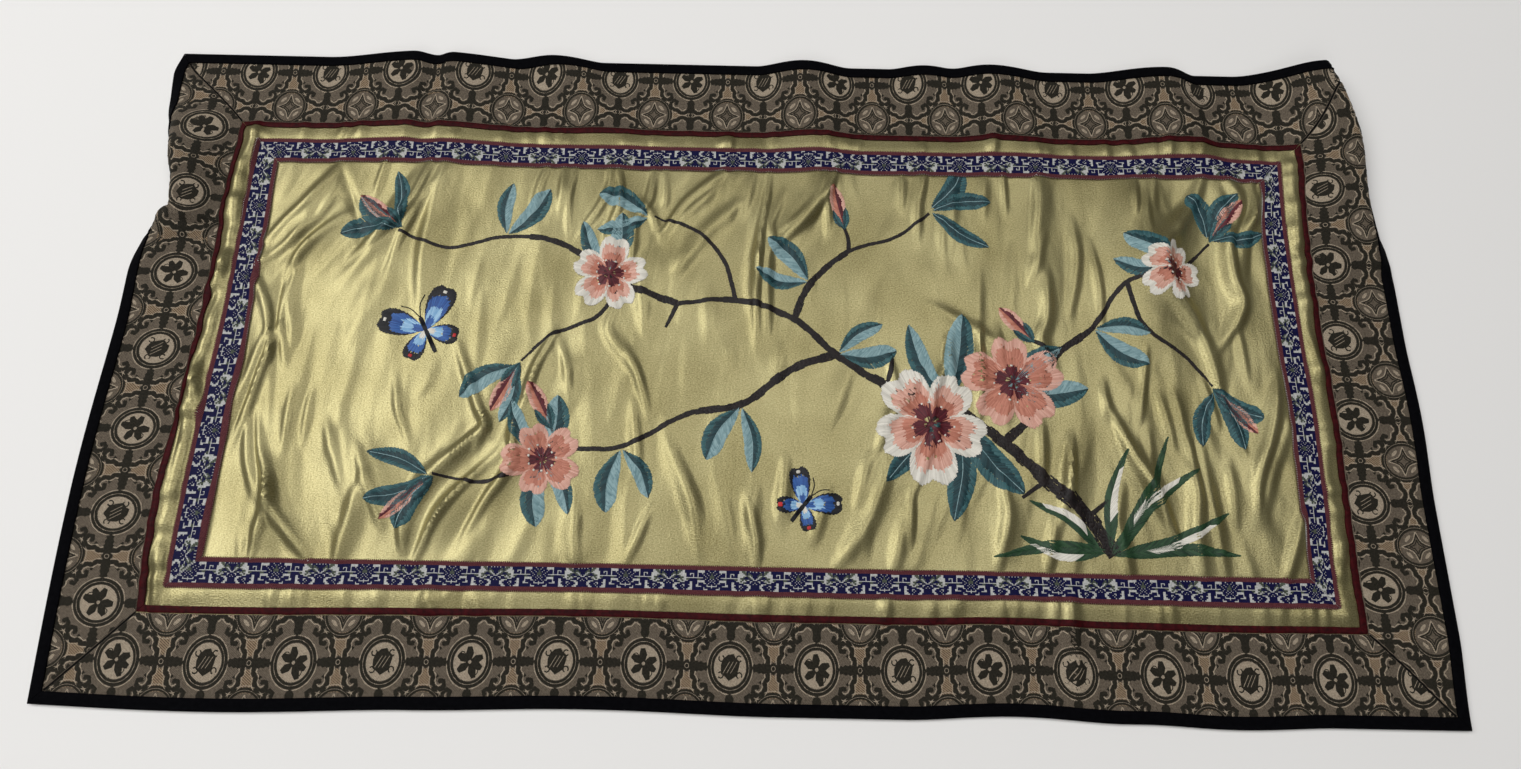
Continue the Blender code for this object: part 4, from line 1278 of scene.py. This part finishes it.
def stitches(heap, starts, ends, width=THREAD_WIDTH, low=GROUND, rise=THREAD_RISE):
    """Stitches of floss from starts to ends, as crowned bands whose ends dip."""
    starts, ends = np.asarray(starts, float), np.asarray(ends, float)
    if not len(starts):
        return
    way = (ends - starts)[:, None]
    square = to_left(way) / np.maximum(np.hypot(way[..., 0], way[..., 1])[..., None], 1e-6) / 2
    middle = starts[:, None] + way * STITCH_SHARES[:, None]
    spread = square * (width * STITCH_WIDTHS)[:, None]
    points = np.empty((len(starts), len(STITCH_SHARES), 3, 3))
    points[..., :2] = middle[:, :, None] + np.array([[-1], [0], [1]]) * spread[:, :, None]
    points[..., 2] = low
    points[:, :, 1, 2] += rise * STITCH_RISES
    heap.add(points)


def towards(centre, turn, distance):
    """A point that far from a centre, at an angle in degrees."""
    return turned([(distance, 0.0)], centre, turn)[0]


def line_by_length(points, step):
    """A smooth line, read at even steps, with its ways to its end and to its left, and its
    length."""
    line = smooth_line(points, 12)
    lengths = np.concatenate([[0.0], np.cumsum(np.hypot(*np.diff(line, axis=0).T))])
    count = max(int(lengths[-1] / step), 2)
    at = np.linspace(0.0, lengths[-1], count + 1)
    even = np.stack([np.interp(at, lengths, line[:, k]) for k in (0, 1)], -1)
    way = ways_along(even)
    return even, way, to_left(way), lengths[-1]


def branch(points, thick, thin):
    """A branch in rows of long stitches along its line, with knobs."""
    line, _, square, length = line_by_length(points, 1.0)
    rows = int(math.ceil(thick / BRANCH_ROW))
    for row in range(rows):
        share = (row + 0.5) / rows - 0.5
        at = -chance.uniform(0, 6)
        while at < length - 1.0:
            stop = at + chance.uniform(6, 9)
            a, b = (int(np.clip(place_along, 0, len(line) - 1)) for place_along in (at, stop))
            at = stop - 1.2
            width_a, width_b = (thick + (thin - thick) * k / len(line) for k in (a, b))
            if b - a < 2 or abs(share) * rows > width_a / BRANCH_ROW * 0.5 + 0.5:
                continue
            knob = 1.0 + 0.18 * math.sin(a * 0.35 + row)
            middle = (a + b) // 2
            start = line[a] + square[a] * share * width_a * knob
            end = line[b] + square[b] * share * width_b * knob
            bend = line[middle] + square[middle] * share * (width_a + width_b) / 2 * knob
            stitches(heaps["brown_black"], [start, bend], [bend, end], 1.4 * BRANCH_ROW)


def rib_line(base, tip, bow):
    """The rib of a leaf that bows to the left, with its ways, and the share run at each point."""
    base, tip = np.asarray(base, float), np.asarray(tip, float)
    side = to_left(tip - base) / np.hypot(*(tip - base))
    middle = (base + tip) / 2 + side * bow
    line, way, square, _ = line_by_length([base, middle, tip], THREAD_STEP)
    return line, way, square, np.linspace(0.0, 1.0, len(line))


def leaf(base, tip, width, bow, tones=("teal_dark", "teal_dark", "teal"), low=GROUND,
         pale_side=0, rib=True):
    """A pointed leaf in slanting satin stitch, from its rib out to its edge. `tones` are of
    the two halves by the rib, and of both by the edge."""
    line, way, square, run = rib_line(base, tip, bow)
    half = width / 2 * np.sin(np.pi * run**0.85) ** 0.8
    ahead = np.minimum(np.clip(half * 0.9, 0.4, None), np.hypot(*(tip - line).T))
    wide = half > WIDE_LEAF
    for k, hand in enumerate((1, -1)):
        reach = line + way * ahead[:, None] + square * (hand * half)[:, None]
        reach += chance.uniform(-0.25, 0.25, reach.shape)
        inner = line + (reach - line) * chance.uniform(0.45, 0.68, len(line))[:, None]
        pale = hand == pale_side
        tone, outer_tone = ("teal_light", "teal_light") if pale else (tones[k], tones[2])
        stitches(heaps[tone], line[wide], inner[wide] + way[wide] * 0.3, low=low)
        stitches(heaps[outer_tone], inner[wide], reach[wide], low=low)
        stitches(heaps[tone], line[~wide], reach[~wide], low=low)
    if rib:
        picks = np.arange(0, len(line) - 4, 5)
        ends = line[np.minimum(picks + 5, len(line) - 1)]
        stitches(heaps["teal_light"], line[picks], ends, 0.6, low + 0.25, 0.3)


def grass(base, tip, width, bow, pale):
    """A long narrow leaf, green, with a white half where it turns."""
    line, way, square, run = rib_line(base, tip, bow)
    half = width / 2 * np.sin(np.pi * run**0.6) ** 0.8 + 0.15
    for hand in (1, -1):
        reach = line + way * (half * 1.6 + 0.6)[:, None] + square * (hand * half)[:, None]
        reach += chance.uniform(-0.2, 0.2, reach.shape)
        white = (run > 0.25) & (run < 0.8) & (hand == pale)
        for chosen, tone in ((white, "white"), (~white, "green")):
            stitches(heaps[tone], line[chosen], reach[chosen], 0.9)


def petal(centre, turn, radius, spread, tones, low, notch=0.12, inner=0.18):
    """A rounded petal in rows of long and short stitches, which run out from the middle."""
    steps = max(int(2 * radius * math.radians(spread) / PETAL_STEP), 8)
    shares = np.linspace(-1.0, 1.0, steps)
    angles = np.radians(turn + shares * spread)
    reach = radius * (1.0 - 0.55 * np.abs(shares) ** 3 - notch * np.exp(-(shares / 0.18) ** 2))
    reach *= 1.0 + chance.uniform(-0.015, 0.015, steps)
    ways = np.stack([np.cos(angles), np.sin(angles)], -1)
    rows = [*np.linspace(inner, 0.8, len(tones)), 1.0]
    for k, tone in enumerate(tones):
        start, end = rows[k] - 0.04, rows[k + 1]
        ragged_start = chance.uniform(-0.05, 0.05, steps) if k else 0.0
        ragged_end = chance.uniform(-0.06, 0.06, steps) if k < len(tones) - 1 else 0.0
        starts = centre + ways * (reach * np.clip(start + ragged_start, 0.02, 1))[:, None]
        ends = centre + ways * (reach * np.clip(end + ragged_end, 0.02, 1))[:, None]
        crowd = max(int(round(1.0 / max(end, 0.25))), 1)
        stitches(heaps[tone], starts[::crowd], ends[::crowd], 1.1 * PETAL_STEP, low + 0.03 * k)


def blossom(centre, radius, turn, low, tones):
    """An open flower with rounded petals and a fan of stamens."""
    centre = np.asarray(centre, float)
    for k in range(PETALS):
        petal(centre, turn + 360.0 / PETALS * k, radius * (1.0 + 0.06 * math.sin(3 * k + turn)),
              180.0 / PETALS * 1.08, tones, low + 0.06 * (k % 3))
    for k in range(STAMENS):
        way = turn + 360.0 / STAMENS * k + chance.uniform(-8, 8)
        tip = towards(centre, way, radius * chance.uniform(0.28, 0.42))
        stitches(heaps["maroon"], [centre], [tip], 0.7, low + 0.45, 0.3)
        across = towards((0.0, 0.0), way + 90.0, 0.8)
        stitches(heaps["white"], [tip - across], [tip + across], 1.3, low + 0.5, 0.6)


def bud(base, tip, width):
    """A closed bud of three overlapped petals in a green cup."""
    base, tip = np.asarray(base, float), np.asarray(tip, float)
    chord = tip - base
    side = to_left(chord) / np.hypot(*chord)
    leaf(base, tip, width, 0.0, ("coral", "maroon", "pink"), rib=False)
    for hand in (1, -1):
        leaf(base - chord * 0.08, base + chord * 0.42 + side * hand * width * 0.42, width * 0.4,
             hand * width * 0.08, ("teal_dark", "teal", "teal"), GROUND + 0.3, rib=False)


def spray(at, turn, lengths, spread, width=LEAF_WIDTH):
    """A fan of leaves round a twig's end, some with a pale half."""
    count = len(lengths)
    for k, length in enumerate(lengths):
        way = turn + spread * ((k + 0.5) / count - 0.5)
        leaf(towards(at, way, 3.0), towards(at, way, length * LEAF_GROWTH),
             width * (0.85 + 0.3 * ((k * 7 + count) % 3) / 2), (k % 2 - 0.5) * 7.0,
             pale_side=(0, 0, 1, 0, 0, -1)[(3 * k + count) % 6])


def butterfly(centre, size, turn):
    """A butterfly with four wings: blue, pale and black, with red spots at its tail."""
    centre = np.asarray(centre, float)
    upper, lower = (1.0, 27, "blue", 0.12, "white"), (0.68, 30, "white", 0.0, "red")
    for way, wing in ((42, upper), (138, upper), (-38, lower), (218, lower)):
        share, spread, root_tone, lift, spot_tone = wing
        petal(centre, turn + way, size * share, spread,
              (root_tone, "light_blue", "blue", "black"), GROUND + lift, notch=0.05, inner=0.08)
        tip = towards(centre, turn + way, size * share * 0.86)
        spot = turned([(-1.4, 0), (1.4, 0)], tip, turn + way + 90)
        stitches(heaps[spot_tone], spot[:1], spot[1:], 2.2, GROUND + 0.45)
    body = turned([(0, size * 0.3), (0, 0), (0, -size * 0.52)], centre, turn)
    for shift in (-0.8, 0.0, 0.8):
        points = body + towards((0, 0), turn, shift)
        stitches(heaps["black"], points[:-1], points[1:], 1.4, GROUND + 0.4, 0.8)
    for hand in (-1, 1):
        feeler = size * np.array([(0.0, 0.3), (hand * 0.1, 0.55), (hand * 0.26, 0.7)])
        line = smooth_line(turned(feeler, centre, turn), 4)
        stitches(heaps["black"], line[:-1], line[1:], 0.8, GROUND + 0.1)


def embroider():
    """A flowering branch that leans in from the right, with grasses and two butterflies."""
    for thick, thin, *points in BRANCHES:
        branch(points, thick, thin)
    for root, tip in TWIGS:
        branch([root, np.add(root, tip) / 2 + (1, 1), tip], *TWIG)
    for row in SPRAYS:
        spray(*row)
    for row in GRASSES:
        grass(*row)
    for centre, radius, turn, lift, tones in BLOSSOMS:
        blossom(centre, radius, turn, GROUND + lift, tones)
    for base, place_ahead in BUDS:
        bud(base, np.add(base, np.subtract(place_ahead, base) * BUD_GROWTH), BUD_WIDTH)
    butterfly((-240, 16), 36, 28)
    butterfly((30, -104), 27, -38)
    for colour, heap in heaps.items():
        finish = thread_finish("silk thread " + colour, *THREADS[colour])
        dress("embroidery_" + colour, *heap.joined(), finish, "satin", sharp=THREAD_SHARP)


# The table, the light and the camera

TABLE_HALF = 3.0
TABLE_TOP = -0.0001


def set_table():
    """The pale surface on which the cloth lies."""
    mesh = bpy.data.meshes.new("table")
    corners = [(TABLE_HALF * x, TABLE_HALF * y, TABLE_TOP)
               for x, y in ((-1, -1), (1, -1), (1, 1), (-1, 1))]
    mesh.from_pydata(corners, [], [(0, 1, 2, 3)])
    table = bpy.data.objects.new("table", mesh)
    bpy.context.scene.collection.objects.link(table)
    material = bpy.data.materials.new("table")
    material.use_nodes = True
    shader = material.node_tree.nodes["Principled BSDF"]
    shader.inputs["Base Color"].default_value = linear((232, 231, 230))
    shader.inputs["Roughness"].default_value = 0.9
    mesh.materials.append(material)


def area_light(name, at, aim, size, power, colour):
    """A round lamp that aims at a point."""
    light = bpy.data.lights.new(name, "AREA")
    light.shape = "DISK"
    light.size = size
    light.energy = power
    light.color = colour
    lamp = bpy.data.objects.new(name, light)
    lamp.location = at
    lamp.rotation_euler = (Vector(aim) - Vector(at)).to_track_quat("-Z", "Y").to_euler()
    bpy.context.scene.collection.objects.link(lamp)


def light_scene():
    """A big lamp from the left like a window, two weaker ones, and a dim room."""
    area_light("window", (-1.9, 0.55, 2.4), (0.0, 0.0, 0.0), 2.2, 66.0, (1.0, 0.995, 0.98))
    area_light("fill", (0.7, 0.6, 2.5), (0.2, 0.0, 0.0), 1.7, 23.0, (1.0, 0.985, 0.96))
    area_light("front", (-0.4, -1.7, 1.6), (0.0, 0.0, 0.0), 1.2, 9.0, (1.0, 0.99, 0.97))
    world = bpy.data.worlds.new("room")
    world.use_nodes = True
    background = world.node_tree.nodes["Background"]
    background.inputs["Color"].default_value = (0.95, 0.97, 1.0, 1.0)
    background.inputs["Strength"].default_value = 0.1
    bpy.context.scene.world = world
    bpy.context.scene.view_settings.view_transform = "Standard"


# The camera, solved from the photo: its place and ways in metres, and its focal length in
# the photo's pixels
CAMERA_AT = (-0.0014, -0.2122, 0.6416)
CAMERA_AHEAD = (0.0033, 0.2876, -0.9578)
CAMERA_RIGHT = (0.9998, 0.0191, 0.0092)
FRAME_WIDTH = 1521
FOCAL_PIXELS = 950.0


def set_camera():
    """The photo's camera."""
    camera = bpy.data.cameras.new("camera")
    camera.sensor_width = 36.0
    camera.lens = camera.sensor_width * FOCAL_PIXELS / FRAME_WIDTH
    camera.clip_start = 0.01
    holder = bpy.data.objects.new("camera", camera)
    back = -Vector(CAMERA_AHEAD).normalized()
    up = back.cross(Vector(CAMERA_RIGHT)).normalized()
    turn = Matrix((up.cross(back), up, back)).transposed().to_4x4()
    holder.matrix_world = Matrix.Translation(CAMERA_AT) @ turn
    bpy.context.scene.collection.objects.link(holder)
    bpy.context.scene.camera = holder


set_camera()
lay_satin()
lay_borders()
weave_figure()
weave_ribbon()
embroider()
set_table()
light_scene()
